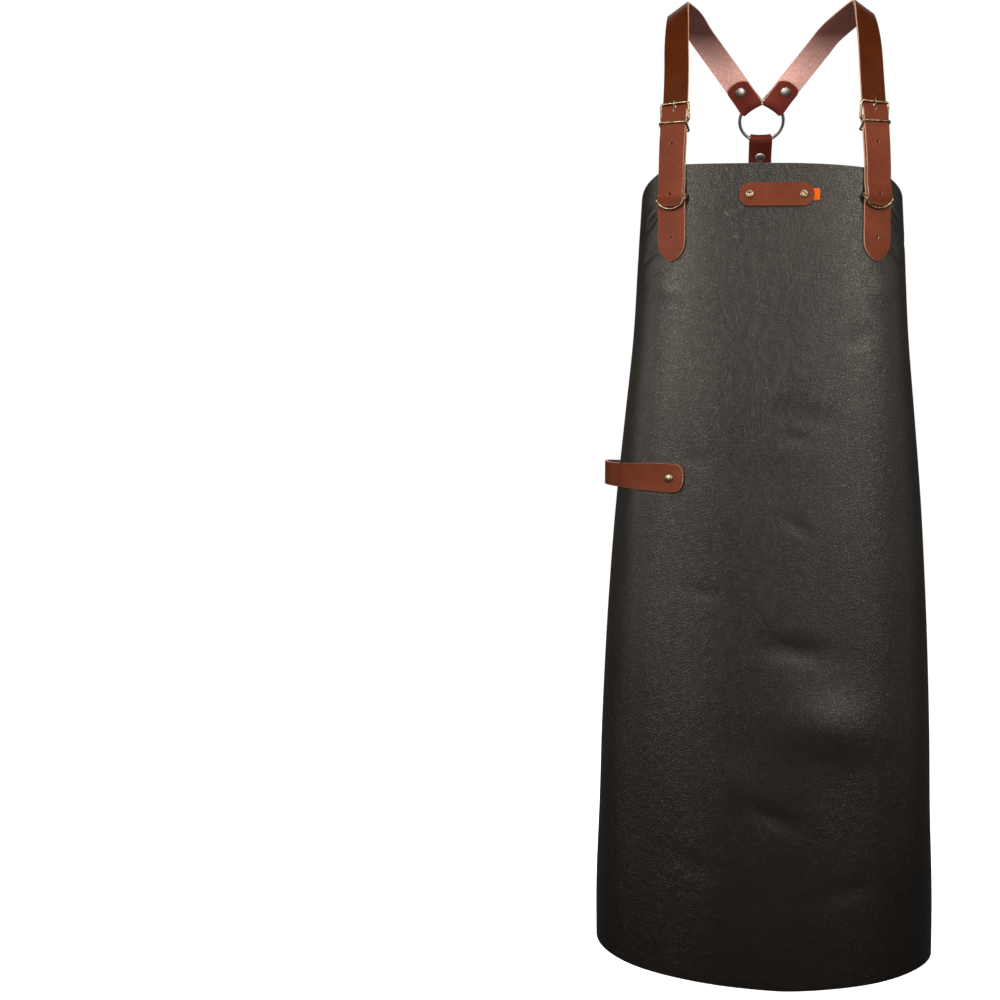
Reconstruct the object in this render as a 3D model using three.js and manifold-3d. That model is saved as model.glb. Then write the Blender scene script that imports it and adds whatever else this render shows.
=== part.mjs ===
// Faux leather apron with crossed shoulder straps, in millimetres.
// +X is to the right as seen from the front, +Y to the back, +Z up.
// The origin is midway between the two shoulder straps, at their undersides.
import * as THREE from 'three';
import { mergeVertices } from 'three/addons/utils/BufferGeometryUtils.js';
import Module from 'manifold-3d';

const wasm = await Module();
wasm.setup();

// Panel
const panelHeight = 993;
const panelThickness = 1.8;
const hemHalfWidth = 209;
const hemDepth = 130;
const hemRise = 38;
const bibCrown = 6;
const bibCornerDrop = 42;
const turnBack = 38;
const turnBackRadius = 190;
const shoulderDrop = 214;
const chestReach = 120;

// Straps
const strapWidth = 31;
const strapThickness = 3;
const anchorWidth = 34;
const anchorTipDrop = 117;
const strapSpread = 122;
const shoulderHalfSpan = 114;
const layerGap = 0.4;
const buckleRise = 76;
const dRingDrop = 37;
const holeRadius = 1.9;

// Metal parts
const buckleLength = 20;
const buckleWire = 1.45;
const railClearance = 1;
const prongWire = 1.1;
const keeperWire = 1;
const keeperDrop = 5.5;
const dRingWire = 1.5;
const dRingLength = 17;
const ringRadius = 28.5;
const ringWire = 2.5;
const ringBack = 100;
const ringDrop = 120.4;
const ringShift = -4;
const ringTilt = THREE.MathUtils.degToRad(35);
const ringStrapAngle = THREE.MathUtils.degToRad(35);
const ringTabLength = 42;
const ringRivetPlace = 28;
const ringRivetRadius = 6.7;
const shankRadius = 1.8;
const shankClearance = 0.3;
const bendSlack = 1.6;

// Waist strap, label and ribbon
const waistDrop = 380;
const waistRise = 10;
const waistWidth = 29;
const waistEndWidth = 34;
const waistRivetRadius = 5.4;
const backStrapWidth = 30;
const labelLength = 89.5;
const labelHeight = 28;
const labelThickness = 3;
const labelDrop = 38;
const labelShift = 2.4;
const labelRivetSpacing = 64.5;
const labelRivetRadius = 4.9;
const ribbonHeight = 14;
const ribbonThickness = 1;
const ribbonShown = 6.5;
const ribbonTucked = 8;

// Cross sections from the bib's top edge to the hem. halfWidth and depth are shares of the hem's,
// back is the share of turnBack that the leather runs on past its widest point, and front is how far
// the middle stands forward of the chest, as a share of the hem's depth.
const sections = [
  { halfWidth: 0.756, depth: 0.56, squareness: 3.1, back: 0.1, front: 0.0 },
  { halfWidth: 0.78, depth: 0.6, squareness: 3.1, back: 0.15, front: 0.015 },
  { halfWidth: 0.806, depth: 0.65, squareness: 3.0, back: 0.3, front: 0.03 },
  { halfWidth: 0.852, depth: 0.72, squareness: 2.9, back: 0.6, front: 0.035 },
  { halfWidth: 0.896, depth: 0.79, squareness: 2.8, back: 0.8, front: 0.03 },
  { halfWidth: 0.93, depth: 0.85, squareness: 2.7, back: 0.9, front: 0.035 },
  { halfWidth: 0.959, depth: 0.9, squareness: 2.6, back: 1.0, front: 0.05 },
  { halfWidth: 0.98, depth: 0.94, squareness: 2.5, back: 1.0, front: 0.07 },
  { halfWidth: 0.988, depth: 0.97, squareness: 2.45, back: 1.0, front: 0.085 },
  { halfWidth: 1.0, depth: 0.99, squareness: 2.4, back: 1.0, front: 0.1 },
  { halfWidth: 1.0, depth: 1.0, squareness: 2.35, back: 1.0, front: 0.115 },
];

// Soft folds and dents. across is a share of the section's half length, down of the panel's height,
// wide and tall are shares of the hem's half width, lift is a share of the hem's depth.
const folds = [
  { across: 0.1, down: 0.578, wide: 0.2, tall: 0.07, turn: 0.15, lift: -0.026 },
  { across: 0.22, down: 0.638, wide: 0.26, tall: 0.12, turn: 0.1, lift: 0.03 },
  { across: 0.2, down: 0.7, wide: 0.24, tall: 0.09, turn: 0.2, lift: -0.022 },
  { across: 0.02, down: 0.798, wide: 0.18, tall: 0.06, turn: 0.45, lift: -0.014 },
  { across: 0.0, down: 0.25, wide: 0.07, tall: 0.35, turn: 0.25, lift: -0.014 },
  { across: 0.18, down: 0.31, wide: 0.14, tall: 0.08, turn: 0.1, lift: -0.012 },
  { across: -0.52, down: 0.62, wide: 0.12, tall: 0.8, turn: -0.08, lift: 0.018 },
  { across: 0.6, down: 0.72, wide: 0.12, tall: 0.7, turn: 0.06, lift: 0.016 },
];

// The shoulder strap's underside above the bib. up is a share of shoulderDrop, out of shoulderHalfSpan,
// forward of chestReach, and the facing columns give the way its outer side looks.
const chestRoute = [
  { up: 0.18, out: 1.06, forward: 0.85, faceOut: 0.31, faceFront: 0.95, faceUp: 0.08 },
  { up: 0.35, out: 1.04, forward: 0.785, faceOut: 0.31, faceFront: 0.93, faceUp: 0.2 },
  { up: 0.55, out: 1.03, forward: 0.66, faceOut: 0.33, faceFront: 0.87, faceUp: 0.36 },
  { up: 0.73, out: 1.03, forward: 0.475, faceOut: 0.36, faceFront: 0.74, faceUp: 0.56 },
  { up: 0.88, out: 1.02, forward: 0.27, faceOut: 0.44, faceFront: 0.5, faceUp: 0.74 },
  { up: 0.97, out: 1.01, forward: 0.11, faceOut: 0.53, faceFront: 0.22, faceUp: 0.82 },
  { up: 1.0, out: 1.0, forward: 0.0, faceOut: 0.56, faceFront: 0.0, faceUp: 0.83 },
  { up: 0.96, out: 0.87, forward: -0.125, faceOut: 0.38, faceFront: -0.45, faceUp: 0.8 },
];
const ringRoute = [5.0, 4.3, 3.6, 2.9, 2.3];

// The back strap below the ring: down is a share of waistDrop plus shoulderDrop, back of ringBack.
const spineRoute = [
  { down: 0.31, back: 1.36 },
  { down: 0.4, back: 1.4 },
  { down: 0.56, back: 1.36 },
  { down: 0.72, back: 1.24 },
  { down: 0.87, back: 1.16 },
  { down: 1.0, back: 1.14 },
];

// The waist strap's free way round the back: x is a share of hemHalfWidth, y of ringBack.
const waistRoute = [
  { x: -0.93, y: -0.42, rise: 0.6 },
  { x: -0.965, y: -0.12, rise: 0.8 },
  { x: -0.95, y: 0.28, rise: 1 },
  { x: -0.82, y: 0.7, rise: 1 },
  { x: -0.52, y: 1.0, rise: 1 },
  { x: -0.2, y: 1.09, rise: 1 },
  { x: 0.0, y: 1.1, rise: 1 },
  { x: 0.2, y: 1.09, rise: 1 },
  { x: 0.52, y: 0.98, rise: 1 },
  { x: 0.76, y: 0.7, rise: 0.9 },
];

const leather = (name, color, roughness) => new THREE.MeshStandardMaterial({ name, color, roughness, metalness: 0 });
const metal = (name, color) => new THREE.MeshStandardMaterial({ name, color, roughness: 0.35, metalness: 1 });
const panelLeather = leather('panel_leather', 0x3c3733, 0.5);
const strapLeather = leather('strap_leather', 0x84432f, 0.55);
const brass = metal('antique_brass', 0x8c7a55);
const nickel = metal('nickel', 0xb4b0a6);
const ribbonCloth = leather('ribbon', 0xff640a, 0.7);

const group = new THREE.Group();

function addMesh(name, geometry, material) {
  const mesh = new THREE.Mesh(geometry, material);
  mesh.name = name;
  group.add(mesh);
}

// Geometry helpers
function closedGeometry(points, faces) {
  const positions = new Float32Array(points.flatMap((p) => [p.x, p.y, p.z]));
  let volume = 0;
  for (const [a, b, c] of faces) {
    volume += points[a].dot(new THREE.Vector3().crossVectors(points[b], points[c]));
  }
  const turned = volume < 0 ? faces.map(([a, b, c]) => [a, c, b]) : faces;
  const geometry = new THREE.BufferGeometry();
  geometry.setAttribute('position', new THREE.BufferAttribute(positions, 3));
  geometry.setIndex(turned.flat());
  geometry.computeVertexNormals();
  return geometry;
}

function gridNormals(rows) {
  const last = rows.length - 1;
  return rows.map((row, i) => row.map((point, j) => {
    const down = new THREE.Vector3().subVectors(rows[Math.min(i + 1, last)][j], rows[Math.max(i - 1, 0)][j]);
    const over = new THREE.Vector3().subVectors(row[Math.min(j + 1, row.length - 1)], row[Math.max(j - 1, 0)]);
    return down.cross(over).normalize();
  }));
}

// A sheet of even thickness from a grid of points, closed round its four edges.
function slab(rows, outer, inner) {
  const normals = gridNormals(rows);
  const count = rows[0].length;
  const points = [];
  for (const offset of [outer, inner]) {
    rows.forEach((row, i) => row.forEach((p, j) => points.push(p.clone().addScaledVector(normals[i][j], offset))));
  }
  const back = rows.length * count;
  const faces = [];
  const quad = (a, b, c, d) => faces.push([a, b, c], [a, c, d]);
  for (let i = 0; i < rows.length - 1; i++) {
    for (let j = 0; j < count - 1; j++) {
      const a = i * count + j;
      quad(a, a + count, a + count + 1, a + 1);
      quad(back + a, back + a + 1, back + a + count + 1, back + a + count);
    }
    const left = i * count;
    const right = left + count - 1;
    quad(left, back + left, back + left + count, left + count);
    quad(right, right + count, back + right + count, back + right);
  }
  for (let j = 0; j < count - 1; j++) {
    const low = (rows.length - 1) * count + j;
    quad(j, j + 1, back + j + 1, back + j);
    quad(low, back + low, back + low + 1, low + 1);
  }
  return closedGeometry(points, faces);
}

// A round wire along points, joined end to end or with flat ends.
function wire(points, radius, sides, closed) {
  const count = points.length;
  const rings = [];
  let side = null;
  points.forEach((point, i) => {
    const before = closed ? points[(i + count - 1) % count] : points[Math.max(i - 1, 0)];
    const after = closed ? points[(i + 1) % count] : points[Math.min(i + 1, count - 1)];
    const along = new THREE.Vector3().subVectors(after, before).normalize();
    if (!side) {
      side = new THREE.Vector3(0.31, 0.23, 0.92).cross(along).normalize();
    }
    side.addScaledVector(along, -side.dot(along)).normalize();
    const other = new THREE.Vector3().crossVectors(along, side);
    for (let k = 0; k < sides; k++) {
      const angle = (2 * Math.PI * k) / sides;
      rings.push(point.clone()
        .addScaledVector(side, radius * Math.cos(angle))
        .addScaledVector(other, radius * Math.sin(angle)));
    }
  });
  const faces = [];
  const spans = closed ? count : count - 1;
  let shift = 0;
  if (closed) {
    const first = rings[0];
    const lastRing = rings.slice((count - 1) * sides);
    const distances = lastRing.map((p) => p.distanceTo(first));
    shift = distances.indexOf(Math.min(...distances));
  }
  for (let i = 0; i < spans; i++) {
    for (let k = 0; k < sides; k++) {
      const joining = closed && i === count - 1;
      const turn = joining ? -shift : 0;
      const nextRow = ((i + 1) % count) * sides;
      const a = i * sides + k;
      const b = i * sides + ((k + 1) % sides);
      const c = nextRow + ((k + 1 + turn + sides) % sides);
      const d = nextRow + ((k + turn + sides) % sides);
      faces.push([a, b, c], [a, c, d]);
    }
  }
  if (!closed) {
    for (let k = 1; k < sides - 1; k++) {
      faces.push([0, k + 1, k]);
      const end = (count - 1) * sides;
      faces.push([end, end + k, end + k + 1]);
    }
  }
  return closedGeometry(rings, faces);
}

function solid(geometry) {
  const bare = geometry.clone();
  bare.deleteAttribute('normal');
  bare.deleteAttribute('uv');
  const merged = mergeVertices(bare, 1e-4);
  return new wasm.Manifold(new wasm.Mesh({
    numProp: 3,
    vertProperties: new Float32Array(merged.attributes.position.array),
    triVerts: new Uint32Array(merged.index.array),
  }));
}

function cut(geometry, tools) {
  let body = solid(geometry);
  for (const tool of tools) {
    body = body.subtract(solid(tool));
  }
  const mesh = body.getMesh();
  const result = new THREE.BufferGeometry();
  result.setAttribute('position', new THREE.BufferAttribute(new Float32Array(mesh.vertProperties), 3));
  result.setIndex(new THREE.BufferAttribute(new Uint32Array(mesh.triVerts), 1));
  result.computeVertexNormals();
  return result;
}

const aim = (axis) => new THREE.Quaternion().setFromUnitVectors(new THREE.Vector3(0, 1, 0), axis);

function bore(centre, axis, radius, length) {
  const tool = new THREE.CylinderGeometry(radius, radius, length, 8);
  tool.applyQuaternion(aim(axis));
  return tool.translate(centre.x, centre.y, centre.z);
}

// A rivet turned about its axis: flat cap behind, shank through the grip, dome in front.
function rivet(centre, axis, grip, capRadius, dome) {
  const half = grip / 2 + layerGap / 2;
  const backCap = 0.9;
  const rim = 0.6;
  const profile = [
    [0, -half - backCap], [capRadius * 0.7, -half - backCap], [capRadius * 0.75, -half], [shankRadius, -half],
    [shankRadius, half], [capRadius, half], [capRadius, half + rim], [capRadius * 0.6, half + rim + dome * 0.8],
    [0, half + rim + dome],
  ];
  const turned = new THREE.LatheGeometry(profile.map(([x, y]) => new THREE.Vector2(x, y)), 10);
  turned.applyQuaternion(aim(axis));
  turned.translate(centre.x, centre.y, centre.z);
  return turned;
}

function along(rows, key, share) {
  const place = THREE.MathUtils.clamp(share, 0, 1) * (rows.length - 1);
  const index = Math.min(Math.floor(place), rows.length - 2);
  const value = (i) => rows[THREE.MathUtils.clamp(i, 0, rows.length - 1)][key];
  const [a, b, c, d] = [value(index - 1), value(index), value(index + 1), value(index + 2)];
  const t = place - index;
  return b + 0.5 * t * (c - a + t * (2 * a - 5 * b + 4 * c - d + t * (3 * (b - c) + d - a)));
}

// Panel surface
const bibTop = -shoulderDrop;
const sectionCache = new Map();

function section(share) {
  const key = share.toFixed(6);
  if (sectionCache.has(key)) {
    return sectionCache.get(key);
  }
  const halfWidth = along(sections, 'halfWidth', share) * hemHalfWidth;
  const depth = along(sections, 'depth', share) * hemDepth;
  const power = 2 / along(sections, 'squareness', share);
  const front = -chestReach - along(sections, 'front', share) * hemDepth;
  const back = along(sections, 'back', share) * turnBack;
  const points = [];
  const steps = 90;
  for (let i = 0; i <= steps; i++) {
    const angle = (Math.PI / 2) * (i / steps);
    const x = halfWidth * Math.sin(angle) ** power;
    const y = front + depth * (1 - Math.cos(angle) ** power);
    points.push([x, y]);
  }
  const backSteps = 6;
  for (let i = 1; i <= backSteps; i++) {
    const angle = (back * i) / backSteps / turnBackRadius;
    points.push([halfWidth - turnBackRadius * (1 - Math.cos(angle)), front + depth + turnBackRadius * Math.sin(angle)]);
  }
  const lengths = [0];
  for (let i = 1; i < points.length; i++) {
    const [dx, dy] = [points[i][0] - points[i - 1][0], points[i][1] - points[i - 1][1]];
    lengths.push(lengths[i - 1] + Math.hypot(dx, dy));
  }
  const result = { points, lengths, half: lengths[lengths.length - 1] };
  sectionCache.set(key, result);
  return result;
}

// The panel's outer face at a share across, from -1 to 1, and a height.
function bareFace(across, z) {
  const { points, lengths, half } = section((bibTop - z) / panelHeight);
  const target = Math.abs(across) * half;
  let i = 1;
  while (i < lengths.length - 1 && lengths[i] < target) {
    i++;
  }
  const t = (target - lengths[i - 1]) / (lengths[i] - lengths[i - 1]);
  const x = points[i - 1][0] + t * (points[i][0] - points[i - 1][0]);
  const y = points[i - 1][1] + t * (points[i][1] - points[i - 1][1]);
  return new THREE.Vector3(Math.sign(across) * x, y, z);
}

function bareNormal(across, z) {
  const step = 0.004;
  const over = bareFace(Math.min(across + step, 1), z).sub(bareFace(Math.max(across - step, -1), z));
  const down = bareFace(across, z - 2).sub(bareFace(across, z + 2));
  return down.cross(over).normalize();
}

function panelFace(across, z) {
  const point = bareFace(across, z);
  const half = section((bibTop - z) / panelHeight).half;
  let lift = 0;
  for (const fold of folds) {
    const dx = (across - fold.across) * half;
    const dz = bibTop - fold.down * panelHeight - z;
    const [c, s] = [Math.cos(fold.turn), Math.sin(fold.turn)];
    const u = (dx * c + dz * s) / (fold.wide * hemHalfWidth);
    const v = (dz * c - dx * s) / (fold.tall * hemHalfWidth);
    lift += fold.lift * hemDepth * Math.exp(-u * u - v * v);
  }
  return point.addScaledVector(bareNormal(across, z), lift);
}

function acrossAt(x, z) {
  let [low, high] = [0, 0.999];
  for (let i = 0; i < 30; i++) {
    const middle = (low + high) / 2;
    if (bareFace(middle, z).x < Math.abs(x)) {
      low = middle;
    } else {
      high = middle;
    }
  }
  return Math.sign(x) * low;
}

function topEdge(across) {
  const cornerStart = 0.62;
  const corner = Math.max(0, (Math.abs(across) - cornerStart) / (1 - cornerStart));
  return bibTop - bibCrown * Math.min(1, (across / cornerStart) ** 2) - bibCornerDrop * corner;
}

const hemEdge = (across) => bibTop - panelHeight + hemRise * Math.abs(across) ** 1.3;

const panelColumns = 30;
const panelRows = 23;
const panelGrid = [];
for (let i = 0; i <= panelRows; i++) {
  const row = [];
  for (let j = 0; j <= panelColumns; j++) {
    const across = -1 + (2 * j) / panelColumns;
    const z = THREE.MathUtils.lerp(topEdge(across), hemEdge(across), i / panelRows);
    row.push(panelFace(across, z));
  }
  panelGrid.push(row);
}
const panelBores = [];

// Ring plane, facing back and up; heights above it are toward the back
const ringNormal = new THREE.Vector3(0, Math.cos(ringTilt), Math.sin(ringTilt));
const ringUp = new THREE.Vector3(0, -Math.sin(ringTilt), Math.cos(ringTilt));
const ringCentre = new THREE.Vector3(ringShift, ringBack, -ringDrop);

function ringDirection(angle) {
  return new THREE.Vector3(Math.sin(angle), 0, 0).addScaledVector(ringUp, Math.cos(angle));
}

const wrapRadius = ringWire + layerGap + strapThickness / 2;
const legOffset = (strapThickness + layerGap) / 2;
const foldInner = ringRadius - wrapRadius - strapThickness / 2;

// Points of a strap that is folded round the ring, from the outer leg to the tab's rounded end.
function ringFold(angle, width, start, tabLength) {
  const spread = Math.asin(width / 2 / ringRadius);
  const axis = ringDirection(angle);
  const over = new THREE.Vector3().crossVectors(ringNormal, axis.clone().negate());
  const reach = ringRadius + 16;
  const place = (share, radius, height, widthShare) => {
    const blend = THREE.MathUtils.clamp((radius - ringRadius) / (reach - ringRadius), 0, 1);
    const axial = THREE.MathUtils.lerp(ringRadius * Math.cos(spread * share), reach, blend) + Math.max(0, radius - reach);
    const lateral = THREE.MathUtils.lerp(ringRadius * Math.sin(spread * share), (width / 2) * share, blend);
    return ringCentre.clone().addScaledVector(axis, axial)
      .addScaledVector(over, lateral * widthShare).addScaledVector(ringNormal, height);
  };
  const columns = [-1, 0, 1];
  const rows = [];
  for (const radius of [start, reach, ringRadius + 8, ringRadius + 3]) {
    const ease = THREE.MathUtils.smoothstep(radius, ringRadius, reach);
    rows.push(columns.map((c) => place(c, radius, THREE.MathUtils.lerp(wrapRadius, legOffset, ease), 1)));
  }
  for (let turn = 0; turn <= 6; turn++) {
    const beta = (Math.PI * turn) / 6;
    rows.push(columns.map((c) => {
      const out = axis.clone().multiplyScalar(Math.cos(spread * c)).addScaledVector(over, Math.sin(spread * c));
      return ringCentre.clone().addScaledVector(out, ringRadius - wrapRadius * Math.sin(beta))
        .addScaledVector(ringNormal, wrapRadius * Math.cos(beta));
    }));
  }
  const tabEnd = foldInner + tabLength;
  const round = 9;
  for (const radius of [ringRadius + 3, ringRadius + 8, reach, tabEnd - round]) {
    const ease = THREE.MathUtils.smoothstep(radius, ringRadius, reach);
    rows.push(columns.map((c) => place(c, radius, -THREE.MathUtils.lerp(wrapRadius, legOffset, ease), 1)));
  }
  for (const part of [0.3, 0.55, 0.75, 0.9, 0.985]) {
    const widthShare = Math.sqrt(1 - part * part);
    rows.push(columns.map((c) => place(c, tabEnd - round + round * part, -legOffset, widthShare)));
  }
  return rows;
}

const ringRivetAt = (angle) => ringCentre.clone().addScaledVector(ringDirection(angle), foldInner + ringRivetPlace);
const ringGrip = 2 * strapThickness + layerGap;

function ringRivet(name, angle) {
  const centre = ringRivetAt(angle);
  addMesh(name, rivet(centre, ringNormal.clone().negate(), ringGrip, ringRivetRadius, 2.2), nickel);
  return bore(centre, ringNormal, shankRadius + shankClearance, ringGrip * 3);
}

// Straps over the shoulders
const sides = [
  { name: 'left', sign: -1 },
  { name: 'right', sign: 1 },
];

function shoulderRoute(sign) {
  const points = [];
  const facings = [];
  const panelStops = [1.06, 0.8, 0.6, 0.4, 0.2, 0.04];
  for (const stop of panelStops) {
    const z = bibTop - anchorTipDrop * stop;
    const across = acrossAt(sign * strapSpread, z);
    const normal = bareNormal(across, z);
    points.push(bareFace(across, z).addScaledVector(normal, layerGap));
    facings.push(normal);
  }
  for (const row of chestRoute) {
    const z = -shoulderDrop * (1 - row.up);
    points.push(new THREE.Vector3(sign * row.out * shoulderHalfSpan, -row.forward * chestReach, z));
    facings.push(new THREE.Vector3(sign * row.faceOut, -row.faceFront, row.faceUp).normalize());
  }
  for (const far of ringRoute) {
    points.push(ringCentre.clone().addScaledVector(ringDirection(sign * ringStrapAngle), far * ringRadius)
      .addScaledVector(ringNormal, layerGap / 2));
    facings.push(ringNormal.clone());
  }
  const curve = new THREE.CatmullRomCurve3(points, false, 'centripetal');
  const facing = new THREE.CatmullRomCurve3(facings, false, 'centripetal');
  curve.arcLengthDivisions = 800;
  const length = curve.getLength();
  const at = (s) => {
    const t = curve.getUtoTmapping(THREE.MathUtils.clamp(s / length, 0, 1));
    const tangent = curve.getTangent(t);
    const normal = facing.getPoint(t);
    normal.addScaledVector(tangent, -normal.dot(tangent)).normalize();
    const over = new THREE.Vector3().crossVectors(normal, tangent);
    return { point: curve.getPoint(t), tangent, normal, over };
  };
  const place = (s, side, height) => {
    const frame = at(s);
    return frame.point.addScaledVector(frame.over, side).addScaledVector(frame.normal, height);
  };
  const atHeight = (z) => {
    let [low, high] = [0, length * 0.6];
    for (let i = 0; i < 40; i++) {
      const middle = (low + high) / 2;
      if (at(middle).point.z < z && middle < length * 0.6) {
        low = middle;
      } else {
        high = middle;
      }
      if (at(high).point.y > 0) {
        high = (low + high) / 2;
      }
    }
    return low;
  };
  return { at, place, atHeight, length };
}

const steps = (from, to, spacing) => {
  const count = Math.max(1, Math.round(Math.abs(to - from) / spacing));
  return Array.from({ length: count + 1 }, (_, i) => THREE.MathUtils.lerp(from, to, i / count));
};
const smooth = (value, from, to) => THREE.MathUtils.smoothstep(value, from, to);

for (const { name, sign } of sides) {
  const route = shoulderRoute(sign);
  const tip = route.atHeight(bibTop - anchorTipDrop);
  const dRing = route.atHeight(bibTop - dRingDrop);
  const pivot = route.atHeight(bibTop + buckleRise - buckleLength);
  const topBar = pivot + buckleLength;
  const bumpHeight = 2 * dRingWire + layerGap;
  const bump = (s) => bumpHeight * Math.exp(-(((s - dRing) / (6 * dRingWire)) ** 2));
  const half = strapThickness / 2;
  const underHeight = (s) => half + bump(s);
  const tailHeight = (s) => {
    const low = half + (strapThickness + layerGap) * (1 - smooth(s, pivot + buckleLength * 0.45, topBar));
    return low + bump(s);
  };
  const grid = (stations, columns) => stations.map(({ s, halfWidth, height }) => columns
    .map((c) => route.place(s, c * halfWidth, height)));

  // Anchor strap from its pointed end up to the buckle's bar and back down behind itself
  const pivotHeight = half - (buckleWire + layerGap + half);
  const anchorStations = [];
  const pointLength = 25;
  for (const part of [0.01, 0.05, 0.12, 0.22, 0.35, 0.5, 0.7, 1]) {
    const width = (anchorWidth / 2) * Math.sin((Math.PI / 2) * part ** 0.8) ** 0.75;
    anchorStations.push({ s: tip + pointLength * part, halfWidth: Math.max(width, 0.8), height: underHeight(tip) });
  }
  const narrowEnd = pivot - keeperDrop - 6;
  for (const s of steps(tip + pointLength + 6, dRing - 18, 14)) {
    anchorStations.push({ s, halfWidth: anchorWidth / 2, height: underHeight(s) });
  }
  for (const s of steps(dRing - 14, dRing + 18, 4)) {
    anchorStations.push({ s, halfWidth: anchorWidth / 2, height: underHeight(s) });
  }
  for (const s of steps(dRing + 24, narrowEnd - 10, 14)) {
    anchorStations.push({ s, halfWidth: anchorWidth / 2, height: underHeight(s) });
  }
  anchorStations.push({ s: narrowEnd, halfWidth: strapWidth / 2, height: half });
  const wrap = buckleWire + layerGap + half;
  for (let turn = 0; turn <= 6; turn++) {
    const beta = (Math.PI * turn) / 6;
    const s = pivot + wrap * Math.sin(beta);
    anchorStations.push({ s, halfWidth: strapWidth / 2, height: pivotHeight + wrap * Math.cos(beta) });
  }
  const returnLength = 27;
  const returnHeight = half - strapThickness - layerGap;
  anchorStations.push({ s: pivot - 8, halfWidth: strapWidth / 2, height: (returnHeight + pivotHeight - wrap) / 2 });
  anchorStations.push({ s: pivot - 14, halfWidth: strapWidth / 2, height: returnHeight });
  const foldPost = pivot - returnLength + 6;
  anchorStations.push({ s: foldPost, halfWidth: strapWidth / 2, height: returnHeight });
  anchorStations.push({ s: pivot - returnLength, halfWidth: strapWidth / 2, height: returnHeight });
  const anchorGrid = grid(anchorStations, [-1, 1]);
  const tipHole = tip + pointLength * 1.15;
  const anchorPost = (dRing + route.atHeight(bibTop)) / 2 + 2;
  const prongSlot = prongWire * 2 + 2.4;
  const boreAt = (s, radius, length) => {
    const frame = route.at(s);
    return bore(frame.point, frame.normal, radius, length);
  };
  const slotBox = (s, width, length, low, high) => {
    const frame = route.at(s);
    const box = new THREE.BoxGeometry(width, length, high - low);
    const basis = new THREE.Matrix4().makeBasis(frame.over, frame.tangent.clone().negate(), frame.normal);
    box.applyMatrix4(basis);
    const centre = frame.point.clone().addScaledVector(frame.normal, (low + high) / 2);
    return box.translate(centre.x, centre.y, centre.z);
  };
  const postBore = shankRadius + shankClearance;
  addMesh(`anchor_strap_${name}`, cut(slab(anchorGrid, half, -half), [
    boreAt(tipHole, holeRadius, 20),
    boreAt(foldPost, postBore, 40),
    boreAt(anchorPost, postBore, 20),
    slotBox(pivot + 1, prongSlot, 15, pivotHeight - wrap - half - 1, pivotHeight + wrap + half + 1),
  ]), strapLeather);

  // Hidden posts, flush at the front with a plain cap behind, seated below the bend of the leather
  const post = (s, low, high, capRadius) => {
    const frame = route.at(s);
    const rise = (end) => route.place(s + end * capRadius, 0, low).sub(frame.point).dot(frame.normal);
    const seat = Math.min(low, rise(-1), rise(1));
    const outline = [
      [0, seat - 1], [capRadius, seat - 1], [capRadius, seat], [shankRadius, seat], [shankRadius, high], [0, high],
    ];
    const turned = new THREE.LatheGeometry(outline.map(([x, y]) => new THREE.Vector2(x, y)), 7);
    turned.applyQuaternion(aim(frame.normal));
    return turned.translate(frame.point.x, frame.point.y, frame.point.z);
  };
  const postFront = strapThickness - layerGap / 2;
  addMesh(`fold_post_${name}`, post(foldPost, returnHeight - half - layerGap, postFront, 4), brass);
  addMesh(`anchor_post_${name}`,
    post(anchorPost, -panelThickness - 3 * layerGap, postFront + bump(anchorPost), 4.5), brass);
  panelBores.push(boreAt(anchorPost, postBore, 20));

  // Shoulder strap from its rounded tail end, over the shoulder, to its tab on the ring
  const tailEnd = dRing - dRingLength + dRingWire + 1.4;
  const tailRound = 8;
  const strapStations = [];
  for (const part of [0.985, 0.9, 0.75, 0.55, 0.3, 0]) {
    const width = (strapWidth / 2) * Math.sqrt(1 - part * part);
    const s = tailEnd + tailRound * (1 - part);
    strapStations.push({ s, halfWidth: width, height: tailHeight(s) });
  }
  const ringStart = ringRoute[ringRoute.length - 1] * ringRadius;
  const shoulder = route.atHeight(-shoulderDrop * 0.15);
  const stops = [
    ...steps(tailEnd + tailRound + 5, dRing + 20, 6),
    ...steps(dRing + 34, pivot, 16),
    ...steps(pivot + 6, topBar + 4, 3),
    ...steps(topBar + 14, shoulder, 15),
    ...steps(shoulder + 8, shoulder + 80, 8),
    ...steps(shoulder + 100, route.length - 20, 23),
  ];
  for (const s of stops) {
    strapStations.push({ s, halfWidth: strapWidth / 2, height: tailHeight(s) });
  }
  const strapGrid = [
    ...grid(strapStations, [-1, 0, 1]),
    ...ringFold(sign * ringStrapAngle, strapWidth, ringStart, ringTabLength),
  ];
  const prongHole = pivot + buckleLength * 0.7;
  const firstHole = THREE.MathUtils.lerp(dRing, pivot, 0.67);
  const tools = [
    boreAt(firstHole, holeRadius, 20),
    boreAt(dRing, holeRadius, 24),
    slotBox(prongHole, prongWire * 2 + 1, buckleLength * 0.5, -1, tailHeight(pivot) + strapThickness),
    ringRivet(`ring_rivet_${name}`, sign * ringStrapAngle),
  ];
  addMesh(`shoulder_strap_${name}`, cut(slab(strapGrid, half, -half), tools), strapLeather);

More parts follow.
